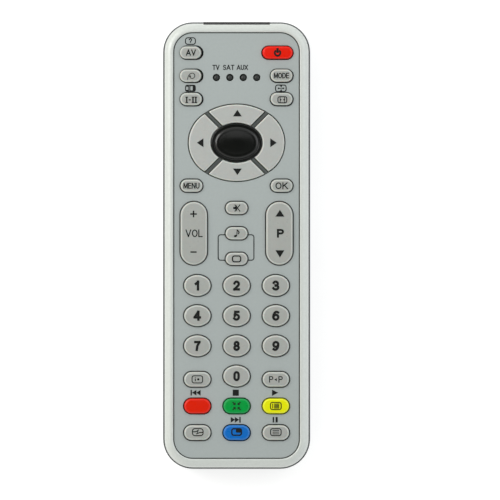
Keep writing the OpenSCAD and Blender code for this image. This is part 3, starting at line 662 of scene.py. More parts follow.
def ribbon(path: np.ndarray, width: float, closed: bool = False) -> Flat:
    """A line of even width: each point of the path moved half the width to either side.

    At a corner the sideways step is the sum of both neighbours' normals divided by one plus their
    product, which keeps the width even on both sides, but never longer than a blunt corner needs.
    The ends of an open line are squared off half a width further out.

    Args:
        path: Points along the middle of the line.
        width: Width of the line.
        closed: Whether the last point joins the first.

    Returns:
        The flat shape.
    """
    path = finer(np.asarray(path, float), closed)
    step = np.roll(path, -1, axis=0) - path
    normal = np.stack([-step[:, 1], step[:, 0]], axis=1) / np.linalg.norm(step, axis=1)[:, None]
    before = np.roll(normal, 1, axis=0)
    if not closed:
        normal[-1] = before[-1]
        before[0] = normal[0]
        path[0] -= step[0] / np.linalg.norm(step[0]) * width / 2
        path[-1] += step[-2] / np.linalg.norm(step[-2]) * width / 2
    blunt = np.clip(1 + (normal * before).sum(axis=1), BLUNT_LEAST, None)
    side = (normal + before) / blunt[:, None]
    count = len(path)
    here = np.arange(count if closed else count - 1)
    after = (here + 1) % count
    right = np.stack([here, after, after + count], axis=1)
    left = np.stack([here, after + count, here + count], axis=1)
    points = np.concatenate([path - side * width / 2, path + side * width / 2])
    return Flat(points, np.concatenate([right, left]))


def bar(width: float, height: float) -> Flat:
    """A filled rectangle, centred."""
    corners = np.array([[-1, -1], [1, -1], [1, 1], [-1, 1]])
    return slab(corners * np.array([width, height]) / 2)


def arrow(length: float, breadth: float) -> Flat:
    """A filled triangle that points along +x."""
    return slab(np.array([[-length / 2, -breadth / 2], [length / 2, 0], [-length / 2, breadth / 2]]))


def box_line(width: float, height: float, radius: float, line: float) -> Flat:
    """The outline of a rectangle with round corners; sizes are over the line's outside."""
    middle = round_box(width - line, height - line, radius - line / 2, BOX_CORNER_POINTS)
    return ribbon(middle, line, closed=True)


def bend(x: float, y: float, wide: float, tall: float, start: float, stop: float) -> np.ndarray:
    """Points on an arc stretched to half axes of its own, for the curved parts of letters.

    Args:
        x: Middle of the arc along x.
        y: Middle of the arc along y.
        wide: Half axis along x.
        tall: Half axis along y.
        start: First angle in degrees.
        stop: Last angle in degrees.

    Returns:
        An array of points.
    """
    return arc((0, 0), 1, start, stop, BEND_POINTS) * np.array([wide, tall]) + np.array([x, y])


def strokes() -> dict[str, tuple[float, list[np.ndarray]]]:
    """The middle lines of plain block letters and numbers, one unit tall.

    Returns:
        For each sign its width and its strokes.
    """
    six = [bend(0.3, 0.31, 0.3, 0.31, 180, 540), bend(0.39, 0.33, 0.39, 0.67, 180, 62)]
    nine = [np.array([0.6, 1.0]) - stroke for stroke in six]
    lines = {
        "0": (0.6, [[*bend(0.3, 0.68, 0.3, 0.32, 0, 180), *bend(0.3, 0.32, 0.3, 0.32, 180, 360),
                     (0.6, 0.68)]]),
        "1": (0.42, [[(0.3, 0), (0.3, 1.0)], [(0, 0.72), (0.3, 0.95)]]),
        "2": (0.6, [[*bend(0.3, 0.7, 0.29, 0.3, 165, -40), (0.02, 0.02)], [(0, 0), (0.6, 0)]]),
        "3": (0.6, [bend(0.28, 0.74, 0.27, 0.26, 155, -90), bend(0.28, 0.26, 0.32, 0.26, 90, -155)]),
        "4": (0.68, [[(0.48, 0), (0.48, 1.0)], [(0.44, 1.0), (0, 0.32)], [(0, 0.28), (0.68, 0.28)]]),
        "5": (0.6, [[(0.54, 1.0), (0.12, 1.0)], [(0.12, 1.0), (0.06, 0.5)],
                    bend(0.27, 0.32, 0.33, 0.32, 125, -150)]),
        "6": (0.6, six),
        "7": (0.6, [[(0, 1.0), (0.6, 1.0)], [(0.6, 0.98), (0.3, 0.5), (0.22, 0)]]),
        "8": (0.6, [bend(0.3, 0.76, 0.26, 0.24, 90, 450), bend(0.3, 0.26, 0.3, 0.26, 90, 450)]),
        "9": (0.6, nine),
        "A": (0.9, [[(0, 0), (0.45, 1.0)], [(0.45, 1.0), (0.9, 0)], [(0.2, 0.32), (0.7, 0.32)]]),
        "D": (0.75, [[(0, 0), (0, 1.0)], [(0, 1.0), *bend(0.3, 0.5, 0.45, 0.5, 90, -90), (0, 0)]]),
        "E": (0.65, [[(0, 0), (0, 1.0)], [(0, 1.0), (0.65, 1.0)], [(0, 0.52), (0.58, 0.52)],
                     [(0, 0), (0.65, 0)]]),
        "K": (0.75, [[(0, 0), (0, 1.0)], [(0.7, 1.0), (0, 0.4)], [(0.25, 0.6), (0.75, 0)]]),
        "L": (0.6, [[(0, 0), (0, 1.0)], [(0, 0), (0.6, 0)]]),
        "M": (0.9, [[(0, 0), (0, 1.0)], [(0.03, 1.0), (0.45, 0.1)], [(0.45, 0.1), (0.87, 1.0)],
                    [(0.9, 0), (0.9, 1.0)]]),
        "N": (0.75, [[(0, 0), (0, 1.0)], [(0.03, 1.0), (0.72, 0)], [(0.75, 0), (0.75, 1.0)]]),
        "O": (0.85, [bend(0.425, 0.5, 0.425, 0.5, 90, 450)]),
        "P": (0.65, [[(0, 0), (0, 1.0)], [(0, 1.0), *bend(0.38, 0.74, 0.27, 0.26, 90, -90), (0, 0.48)]]),
        "S": (0.65, [[*bend(0.32, 0.75, 0.3, 0.25, 30, 260), *bend(0.32, 0.26, 0.33, 0.26, 85, -150)]]),
        "T": (0.75, [[(0.375, 0), (0.375, 1.0)], [(0, 1.0), (0.75, 1.0)]]),
        "U": (0.75, [[(0, 1.0), *bend(0.375, 0.38, 0.375, 0.38, 180, 360), (0.75, 1.0)]]),
        "V": (0.85, [[(0, 1.0), (0.425, 0)], [(0.425, 0), (0.85, 1.0)]]),
        "X": (0.8, [[(0, 0), (0.8, 1.0)], [(0, 1.0), (0.8, 0)]])}
    return {sign: (width, [np.array(path, float) for path in paths])
            for sign, (width, paths) in lines.items()}


STROKES = strokes()
LETTER_SPACE = 0.32


def lettering(words: str, width: float, height: float, stroke: float) -> list[Flat]:
    """Plain block letters drawn with a stroke of even width.

    The middle lines are stretched so that the word fills its size with the stroke round them.

    Args:
        words: What is printed.
        width: Size along x.
        height: Size along y.
        stroke: Width of the stroke.

    Returns:
        The strokes as flat shapes, centred on the origin.
    """
    total = sum(STROKES[sign][0] for sign in words) + LETTER_SPACE * (len(words) - 1)
    scale = np.array([(width - stroke) / total, height - stroke])
    shapes = []
    start = -total / 2
    for sign in words:
        wide, paths = STROKES[sign]
        corner = np.array([start, -0.5])
        shapes += [stroke_line((path + corner) * scale, stroke) for path in paths]
        start += wide + LETTER_SPACE
    return shapes


def stroke_line(path: np.ndarray, stroke: float) -> Flat:
    """A stroke, closed if it ends where it starts."""
    closed = np.allclose(path[0], path[-1])
    return ribbon(path[:-1] if closed else path, stroke, closed)


def placed(shapes: list[Flat], x: float, y: float) -> list[Flat]:
    """The same shapes in another place."""
    return [shape.moved(x, y) for shape in shapes]


def print_mesh(shapes: list[Flat], height: Surface, rise: float = INK_RISE,
               sink: float = INK_SINK) -> Mesh:
    """Lays flat shapes on a surface as one thin closed mesh.

    Each point gets the surface's height there, a little above for the top and a little below for
    the underside. Edges that only one triangle uses get a wall between the two. Each shape lies a
    hair above the one before, so that none lies in the same plane as another.

    Args:
        shapes: The shapes, in place.
        height: Function from points to the surface's heights.
        rise: How far the top lies above the surface.
        sink: How far the underside lies below it.

    Returns:
        Points and faces.
    """
    starts = np.cumsum([0] + [len(s.points) for s in shapes])
    flat = np.concatenate([s.points for s in shapes])
    tris = np.concatenate([s.triangles + start for s, start in zip(shapes, starts)])
    count = len(flat)
    edges = np.concatenate([tris[:, [0, 1]], tris[:, [1, 2]], tris[:, [2, 0]]]).astype(np.int64)
    forward = edges[:, 0] * count + edges[:, 1]
    backward = edges[:, 1] * count + edges[:, 0]
    rim = edges[~np.isin(forward, backward)]
    wall = np.stack([rim[:, 0] + count, rim[:, 1] + count, rim[:, 1], rim[:, 0]], axis=1)
    layer = np.repeat(np.arange(len(shapes)) * INK_LAYER, [len(s.points) for s in shapes])
    level = height(flat) + layer
    points = np.concatenate([raised(flat, level + rise), raised(flat, level - sink)])
    return points, tris.tolist() + (tris[:, ::-1] + count).tolist() + wall.tolist()


def print_on(name: str, shapes: list[Flat], height: Surface, body: str = CASE,
             finish: Finish = INK) -> None:
    """Prints shapes on a surface as one piece of ink.

    Args:
        name: The piece's name.
        shapes: The shapes, in place.
        height: Function from points to the surface's heights.
        body: The body the print rides on.
        finish: The ink.
    """
    make_piece(name, *print_mesh(shapes, height), finish, body)


# Signs on the keys and the face


THIN = 0.26
LINE = 0.36


def dot(radius: float) -> Flat:
    """A filled disc, centred."""
    return slab(whole_circle(radius, DOT_POINTS))


def power_sign() -> list[Flat]:
    """An open ring with a bar standing in its gap."""
    ring = arc((0, -0.15), 1.02, 140, 400, RING_POINTS)
    return [ribbon(ring, 0.68), bar(0.85, 1.8).moved(0, 0.75)]


def swirl_sign() -> list[Flat]:
    """A tail that rises from the lower left and curls into a ring with a dot at its end."""
    tail = [(-1.4, -1.2), (-1.3, -0.6), (-1.02, 0.1), (-0.62, 0.7)]
    curl = arc((0.3, 0.12), 0.98, 128, -165, CURL_POINTS)
    return [ribbon(np.concatenate([tail, curl]), THIN), dot(0.34).moved(-0.48, -0.05)]


def dual_sign() -> list[Flat]:
    """One bar with feet, a dash and two bars with feet: one channel or two."""
    shapes = [bar(0.8, 0.42).moved(-0.65, 0)]
    for x in (-1.75, 0.55, 1.6):
        shapes.append(bar(0.52, 2.0).moved(x, 0))
        shapes += [bar(0.98, 0.36).moved(x, y) for y in (-1.0, 1.0)]
    return shapes


def wide_sign() -> list[Flat]:
    """A screen with two bars, each with an arrow towards the middle."""
    bars = [bar(THIN, 2.2).moved(x, 0) for x in (-0.82, 0.82)]
    return [box_line(3.6, 2.6, 0.85, LINE), *bars, arrow(0.7, 1.1).moved(-0.55, 0),
            arrow(0.7, 1.1).turned(180).moved(0.55, 0)]


def mute_sign() -> list[Flat]:
    """A loudspeaker, crossed out."""
    horn = slab(np.array([[-0.65, -0.4], [0.2, -1.15], [0.2, 1.15], [-0.65, 0.4]]))
    return [bar(0.6, 0.8).moved(-0.95, 0), horn, bar(3.2, LINE).turned(52).moved(0.3, 0),
            bar(3.2, LINE).turned(-52).moved(0.3, 0)]


def note_sign() -> list[Flat]:
    """A single note: a tilted head, a leaning stem and a flag."""
    head = slab(whole_circle(1, DOT_POINTS) * np.array([0.58, 0.42])).turned(20).moved(-0.42, -1.0)
    stem = ribbon(np.array([[0.06, -0.9], [0.25, 1.25]]), 0.3)
    flag = ribbon(np.array([[0.24, 1.2], [0.75, 0.75], [0.9, 0.3], [0.7, -0.1]]), 0.42)
    return [head, stem, flag]


def screen_sign() -> list[Flat]:
    """The outline of a screen."""
    return [box_line(3.45, 2.6, 0.95, 0.45)]


def info_sign() -> list[Flat]:
    """A screen with the letter i and a dot inside."""
    letter = [bar(LINE, 0.95).moved(-0.75, -0.2), bar(LINE, 0.3).moved(-0.75, 0.62)]
    return [box_line(4.25, 3.0, 0.95, LINE), *letter, dot(0.42).moved(0.35, 0)]


def swap_sign() -> list[Flat]:
    """Two letters with an arrow between them: back to the last channel."""
    letter = lettering("P", 1.55, 2.35, 0.34)
    return [*placed(letter, -1.7, 0), arrow(0.9, 1.1).turned(180).moved(-0.1, -0.1),
            *placed(letter, 1.75, 0)]


def corners_sign() -> list[Flat]:
    """Four arrows that point to the middle from the corners."""
    head = slab(np.array([[0.36, 0.36], [1.4, 0.36], [0.36, 1.4]]))
    tail = ribbon(np.array([[0.75, 0.75], [1.3, 1.3]]), 0.45)
    return [shape.turned(turn) for turn in (0, 90, 180, 270) for shape in (head, tail)]


def list_sign() -> list[Flat]:
    """A screen with a column and a block of lines."""
    shapes = [box_line(4.3, 3.0, 0.95, LINE), bar(0.3, 1.8).moved(-1.15, 0)]
    return shapes + [bar(1.9, 0.36).moved(0.3, y) for y in (-0.72, -0.24, 0.24, 0.72)]


def split_sign() -> list[Flat]:
    """A screen cut in two by a wave: up from the left, down from the right, a thin link between."""
    upper = ribbon(np.array([[-1.85, 0.1], [-0.8, 0.15], [-0.15, 0.4], [0.25, 0.75]]), LINE)
    lower = ribbon(np.array([[1.85, -0.1], [0.8, -0.13], [0.15, -0.38], [-0.4, -0.62]]), LINE)
    link = ribbon(np.array([[0.08, 0.25], [-0.08, -0.2]]), THIN)
    return [box_line(4.3, 3.0, 1.2, LINE), upper, lower, link]


def corner_screen_sign() -> list[Flat]:
    """A screen with its upper right quarter filled."""
    pane = slab(round_box(2.15, 1.6, 0.4, PANE_CORNER_POINTS))
    return [box_line(4.0, 2.9, 0.95, 0.5), pane.moved(0.8, 0.56)]


def text_sign() -> list[Flat]:
    """A screen full of lines."""
    return [box_line(4.25, 2.95, 1.0, LINE)] + [bar(2.4, 0.3).moved(0, y) for y in (-0.66, 0, 0.66)]


def plus_minus_sign() -> list[Flat]:
    """Plus at the top, the word for volume in the middle and minus at the bottom."""
    return [bar(2.45, 0.52).moved(-0.1, 7.1), bar(0.52, 2.45).moved(-0.1, 7.1),
            *placed(lettering("VOL", 6.3, 2.8, 0.4), 0.1, 0), bar(2.3, 0.5).moved(-0.1, -6.9)]


def up_down_sign() -> list[Flat]:
    """An arrow up, a letter and an arrow down."""
    return [arrow(2.5, 3.3).turned(90).moved(0.2, 7.4), *placed(lettering("P", 2.6, 3.2, 0.75), 0.4, 0),
            arrow(2.7, 3.3).turned(-90).moved(0.2, -7.6)]


# The keypad


@dataclass
class KeyCap:
    """One silicone key, or a rocker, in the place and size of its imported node."""

    node: str
    form: Form
    finish: Finish
    legend: list[Flat]
    crown_r: float = 60.0
    edge_r: float = 0.75
    skirt_w: float = 0.7
    skirt_h: float = 1.1
    gap: float = 0.35
    # Where across the rounded edge the painted highlight lies, and how strong it is there
    worn_at: tuple[float, ...] = (0.0, 0.15, 0.5, 0.9)
    worn_by: tuple[float, ...] = (0.0, 1.0, 1.0, 0.0)
    edge_steps: int = 9
    crown_shares: tuple[float, ...] = (0.92, 0.8, 0.65, 0.5, 0.35, 0.2, 0.08)
    lean: tuple[float, float] = (0.0, 0.0)
    slim: float = 0.0
    middle: np.ndarray = field(init=False)
    crown_middle: np.ndarray = field(init=False)
    size: np.ndarray = field(init=False)
    foot: float = field(init=False)
    top: float = field(init=False)

    def __post_init__(self) -> None:
        """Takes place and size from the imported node, whose skirt is its widest part."""
        low, high = box_mm(self.node)
        self.middle = (low[:2] + high[:2]) / 2
        self.crown_middle = self.middle + np.array(self.lean)
        self.size = high[:2] - low[:2] - 2 * self.skirt_w
        self.foot = low[2]
        self.top = high[2]

    def height(self, flat: np.ndarray) -> np.ndarray:
        """Height of the crowned top: it falls with the square of the distance from the middle."""
        away = flat - self.crown_middle
        return self.top - (away ** 2).sum(axis=-1) / 2 / self.crown_r

    def opening(self) -> np.ndarray:
        """The outline of the opening in the face, one gap wider than the key."""
        return self.form.outline(*self.size).grown(self.gap) + self.middle

    def build(self, mat_top: float) -> None:
        """Lofts the key that stands for its node: skirt, straight column, rounded edge, crowned top.

        The rounded edge is a quarter circle: going inwards by the edge radius times one minus the
        cosine of an angle, and down by the edge radius times one minus its sine. Inside it, rings
        shrink evenly to the middle and lie on the crown. A key that leans has its top moved
        sideways over its foot, and a slim one has a narrower top, so that its gap is wider and
        darker on one side.

        Args:
            mat_top: Height where the skirt turns inwards.
        """
        outline = self.form.outline(*self.size)
        crown = self.form.outline(self.size[0] - self.slim, self.size[1])
        walls = [(self.skirt_w, self.foot), (self.skirt_w, mat_top), (0.0, self.foot + self.skirt_h)]
        lower = np.stack([outline.ring(*wall) for wall in walls]) + np.array([*self.middle, 0])
        inward, downward = quarter_round(self.edge_steps)
        inset = self.edge_r * inward
        drop = self.edge_r * downward
        edge = crown.points - crown.facing * inset[:, None, None]
        share = np.array(self.crown_shares)
        flat = np.concatenate([edge, edge[-1] * share[:, None, None]]) + self.crown_middle
        fall = np.concatenate([drop, np.zeros(len(share))])
        upper = raised(flat, self.height(flat) - fall[:, None])
        points, faces = loft(np.concatenate([lower, upper]))
        # Painted highlight: the edge colour laid as a ring on the rounded edge
        painted_highlight = np.interp(inset / self.edge_r, self.worn_at, self.worn_by)
        ring = np.concatenate([np.zeros(len(lower)), painted_highlight, np.zeros(len(share))])
        mark = np.concatenate([np.repeat(ring, len(outline.points)), np.zeros(2)])
        piece = make_piece(f"{self.node}_cap", points, faces, self.finish, self.node, mark)
        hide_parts(self.node)

    def print_legend(self) -> None:
        """Prints the key's sign on its top, if it has one."""
        if self.legend:
            shapes = placed(self.legend, *self.crown_middle)
            print_on(f"{self.node}_print", shapes, self.height, self.node)


def keypad() -> list[KeyCap]:
    """Lists every key with its form, finish and sign.

    Returns:
        The keys and the two rockers.
    """
    pill = Form.PILL
    grey = GREY_SILICONE
    keys = [
        KeyCap("source_key", pill, grey, placed(lettering("AV", 3.7, 2.3, 0.4), 0.2, 0),
               lean=(-0.415, 0.06), slim=0.25),
        KeyCap("power_key", pill, POWER_SILICONE, power_sign(), lean=(0.04, 0.06)),
        KeyCap("display_key", pill, grey, placed(swirl_sign(), 0.35, -0.15), lean=(-0.395, 0.05),
               slim=0.25),
        KeyCap("mode_key", pill, grey, lettering("MODE", 5.6, 2.05, 0.34), lean=(-0.05, 0.1)),
        KeyCap("dual_key", pill, grey, placed(dual_sign(), 0.2, -0.3), lean=(-0.2, 0.06), slim=0.08),
        KeyCap("wide_key", pill, grey, placed(wide_sign(), 0.3, -0.3), lean=(-0.05, 0.1)),
        KeyCap("menu_key", pill, grey, lettering("MENU", 5.9, 2.15, 0.34)),
        KeyCap("ok_key", pill, grey, lettering("OK", 4.6, 2.5, 0.42)),
        KeyCap("mute_key", pill, grey, mute_sign()),
        KeyCap("sound_key", pill, grey, note_sign()),
        KeyCap("picture_key", pill, grey, screen_sign()),
        KeyCap("info_key", pill, grey, info_sign()),
        KeyCap("swap_key", pill, grey, swap_sign()),
        KeyCap("red_key", pill, RED_SILICONE, []),
        KeyCap("green_key", pill, GREEN_SILICONE, corners_sign()),
        KeyCap("yellow_key", pill, YELLOW_SILICONE, list_sign()),
        KeyCap("list_key", pill, grey, placed(split_sign(), 0.15, 0.2)),
        KeyCap("blue_key", pill, BLUE_SILICONE, placed(corner_screen_sign(), 0, 0.25)),
        KeyCap("text_key", pill, grey, placed(text_sign(), 0, 0.2)),
        KeyCap("volume_rocker", pill, grey, plus_minus_sign(), crown_r=200.0),
        KeyCap("channel_rocker", pill, grey, up_down_sign(), crown_r=200.0)]
    digit_widths = (2.4, 2.0, 2.55, 2.65, 2.8, 2.55, 2.7, 2.4, 2.45, 2.65)
    digit_height = 3.75
    digit_stroke = 0.9
    keys += [KeyCap(f"key_{n}", Form.OVAL, grey, lettering(str(n), width, digit_height, digit_stroke))
             for n, width in enumerate(digit_widths)]
    return keys


@dataclass
class DirectionPad:
    """Four direction keys round a glossy cap, between the arms of a black carrier."""

    width: float = 36.0
    height: float = 28.9
    cap_width: float = 19.1
    cap_height: float = 14.7
    arm_width: float = 0.9
    gap: float = 0.35
    cap_gap: float = 0.05
    edge_r: float = 0.6
    crown_r: float = 400.0
    arrow_length: float = 2.4
    arrow_breadth: float = 3.3
    arrow_reach: tuple[float, ...] = (13.6, 10.9, 13.4, 10.7)
    arrow_shift: tuple[float, ...] = (0.0, -0.3, 0.0, 0.3)
    ring_w: float = 1.1
    ring_edge: float = 0.4
    ring_rise: float = 0.3
    cap_groove: float = 0.12
    groove_lip: float = 0.05
    dome_edge: float = 1.5
    dome_sag: float = 0.57
    # Where across the rounded edge the painted highlight lies, and how strong it is there
    worn_at: tuple[float, ...] = (0.0, 0.15, 0.5, 0.9)
    worn_by: tuple[float, ...] = (0.2, 1.0, 1.0, 0.0)
    key_rows: int = 72
    key_columns: int = 30
    search_steps: int = 2000
    ring_steps: int = 8
    dome_shares: tuple[float, ...] = (1.0, 0.93, 0.85, 0.75, 0.62, 0.48, 0.33, 0.18, 0.06)
    middle: np.ndarray = field(init=False)

    def __post_init__(self) -> None:
        """Takes the pad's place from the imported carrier."""
        low, high = box_mm("direction_frame")
        self.middle = (low[:2] + high[:2]) / 2

    def opening(self) -> np.ndarray:
        """The outline of the pad's opening in the face."""
        return oval_outline(self.width, self.height).points + self.middle

    def level(self, top: float) -> Surface:
        """Gives the function for the height of the shallow crown that all four keys share."""
        return lambda flat: top - ((flat - self.middle) ** 2).sum(axis=-1) / 2 / self.crown_r

    def build(self) -> None:
        """Builds and prints the four keys, then the cap."""
        nodes = ("right_key", "up_key", "left_key", "down_key")
        places = zip(self.arrow_reach, self.arrow_shift)
        for quarter, (node, place) in enumerate(zip(nodes, places)):
            self.build_key(node, 90 * quarter, place)
        self.build_cap()

    def build_key(self, node: str, turn: float, place: tuple[float, float]) -> None:
        """Builds one direction key as a grid between the cap's oval and the pad's.

        Columns run from the inner oval to the outer one and rows from one arm to the next, closer
        together near the edges. The height is the crown less a rounded edge: with q the length of
        the shortfalls of the four edge distances below the edge radius e, at most e, the edge
        falls by e less the root of e squared less q squared.

        Args:
            node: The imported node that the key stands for.
            turn: Direction of the key's middle in degrees.
            place: Its arrow's distance from the pad's middle and shift to the left of that way.
        """
        low, high = box_mm(node)
        offset = self.arm_width / 2 + self.gap
        inner = oval_outline(self.cap_width, self.cap_height).grown(self.cap_gap)
        outer = oval_outline(self.width, self.height).grown(-self.gap)
        rows = eased(self.key_rows)
        columns = eased(self.key_columns)
        sides = [math.radians(turn - 45), math.radians(turn + 45)]
        near = self.along(inner, sides, offset, rows)
        far = self.along(outer, sides, offset, rows)
        flat = near[:, None] + (far - near)[:, None] * columns[None, :, None]
        depth = np.linalg.norm(far - near, axis=1)[:, None]
        first = flat @ np.array([-math.sin(sides[0]), math.cos(sides[0])]) - offset
        second = flat @ np.array([math.sin(sides[1]), -math.cos(sides[1])]) - offset
        edges = np.stack([first, second, depth * columns, depth * (1 - columns)])
        short = np.sqrt((np.clip(self.edge_r - edges, 0, None) ** 2).sum(axis=0))
        fall = self.edge_r - np.sqrt(self.edge_r ** 2 - np.clip(short, 0, self.edge_r) ** 2)
        flat = flat + self.middle
        top = raised(flat, self.level(high[2])(flat) - fall)
        bottom = raised(flat, np.full(flat.shape[:2], low[2]))
        # Painted highlight: the edge colour laid on the rounded edges next to the arms and ovals
        painted_highlight = np.interp(1 - short / self.edge_r, self.worn_at, self.worn_by)
        mark = np.concatenate([painted_highlight.ravel(), np.zeros(painted_highlight.size)])
        piece = make_piece(f"{node}_cap", *thick_sheet(top, bottom), PAD_SILICONE, node, mark)
        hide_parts(node)
        sign = arrow(self.arrow_length, self.arrow_breadth).moved(*place).turned(turn)
        sign = sign.moved(*self.middle)
        print_on(f"{node}_print", [sign], self.level(high[2]), node)

    def along(self, oval: np.ndarray, sides: list[float], offset: float,
              rows: np.ndarray) -> np.ndarray:
        """Points on an oval between two arms' edges, at shares of the angle between them.

        An arm's edge is a line beside the arm's axis; where it crosses the oval is found by
        running out along it until the distance from the middle is the oval's own.

        Args:
            oval: The oval's points, starting on +x.
            sides: Directions of the two arms.
            offset: Distance of an arm's edge from its axis.
            rows: Shares from the first arm to the second.

        Returns:
            One point for each share.
        """
        angle = np.unwrap(np.arctan2(oval[:, 1], oval[:, 0]))
        distance = np.linalg.norm(oval, axis=1)
        run = np.linspace(0, self.width, self.search_steps)
        ends = []
        for side, sign in zip(sides, (1, -1)):
            ahead = unit(side)
            beside = ahead[::-1] * np.array([-sign, sign])
            line = run[:, None] * ahead + offset * beside
            facing = np.arctan2(line[:, 1], line[:, 0])
            excess = np.linalg.norm(line, axis=1) - np.interp(facing, angle, distance, period=2 * np.pi)
            ends.append(np.interp(0, excess, run) * ahead + offset * beside)
        start, stop = np.unwrap([math.atan2(end[1], end[0]) for end in ends])
        turn = start + (stop - start) * rows
        reach = np.interp(turn, angle, distance, period=2 * np.pi)
        return unit(turn) * reach[:, None]

    def build_cap(self) -> None:
        """Lofts the cap: a low ring with a rounded edge, a groove, and a dome inside it.

        The ring's edge is a quarter circle and the dome's edge a quarter ellipse, from the bottom
        of the groove up to where the dome starts to sag.
        """
        low, high = box_mm("centre_cap")
        outline = oval_outline(*(high[:2] - low[:2]))
        ring_top = box_mm("faceplate")[1][2] + self.ring_rise
        inward, downward = quarter_round(self.ring_steps)
        ring = np.column_stack([-self.ring_edge * inward, ring_top - self.ring_edge * downward])
        start = -self.ring_w - self.cap_groove
        lip = self.groove_lip
        foot = ring_top - self.cap_groove
        dip = np.array([[lip - self.ring_w, ring_top], [-lip - self.ring_w, ring_top - lip]])
        inset = start - self.dome_edge * inward
        inner = self.cap_dome(outline, inset[-1], high[2])
        shoulder = high[2] - self.dome_sag
        edge = np.column_stack([inset, shoulder - (shoulder - foot) * downward])
        profile = np.concatenate([[[0.0, low[2]]], ring, dip, edge[:-1]])
        rings = np.stack([outline.ring(*row) for row in profile])
        points, faces = loft(np.concatenate([rings, inner]) + np.array([*self.middle, 0]))
        piece = make_piece("centre_cap_dome", points, faces, GLOSS_BLACK_ABS)
        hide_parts("centre_cap")

    def cap_dome(self, outline: Outline, grow: float, top: float) -> np.ndarray:
        """Works out the dome: the inner outline shrunk evenly, falling with the square of its share.

        Args:
            outline: The cap's outline.
            grow: How far the dome's edge lies outside it, so below zero.
            top: Height of the dome's middle.

        Returns:
            The dome's rings, from its edge to its middle.
        """
        share = np.array(self.dome_shares)
        flat = outline.grown(grow) * share[:, None, None]
        fall = self.dome_sag * share ** 2
        return raised(flat, np.broadcast_to((top - fall)[:, None], flat.shape[:2]))


# Face and case


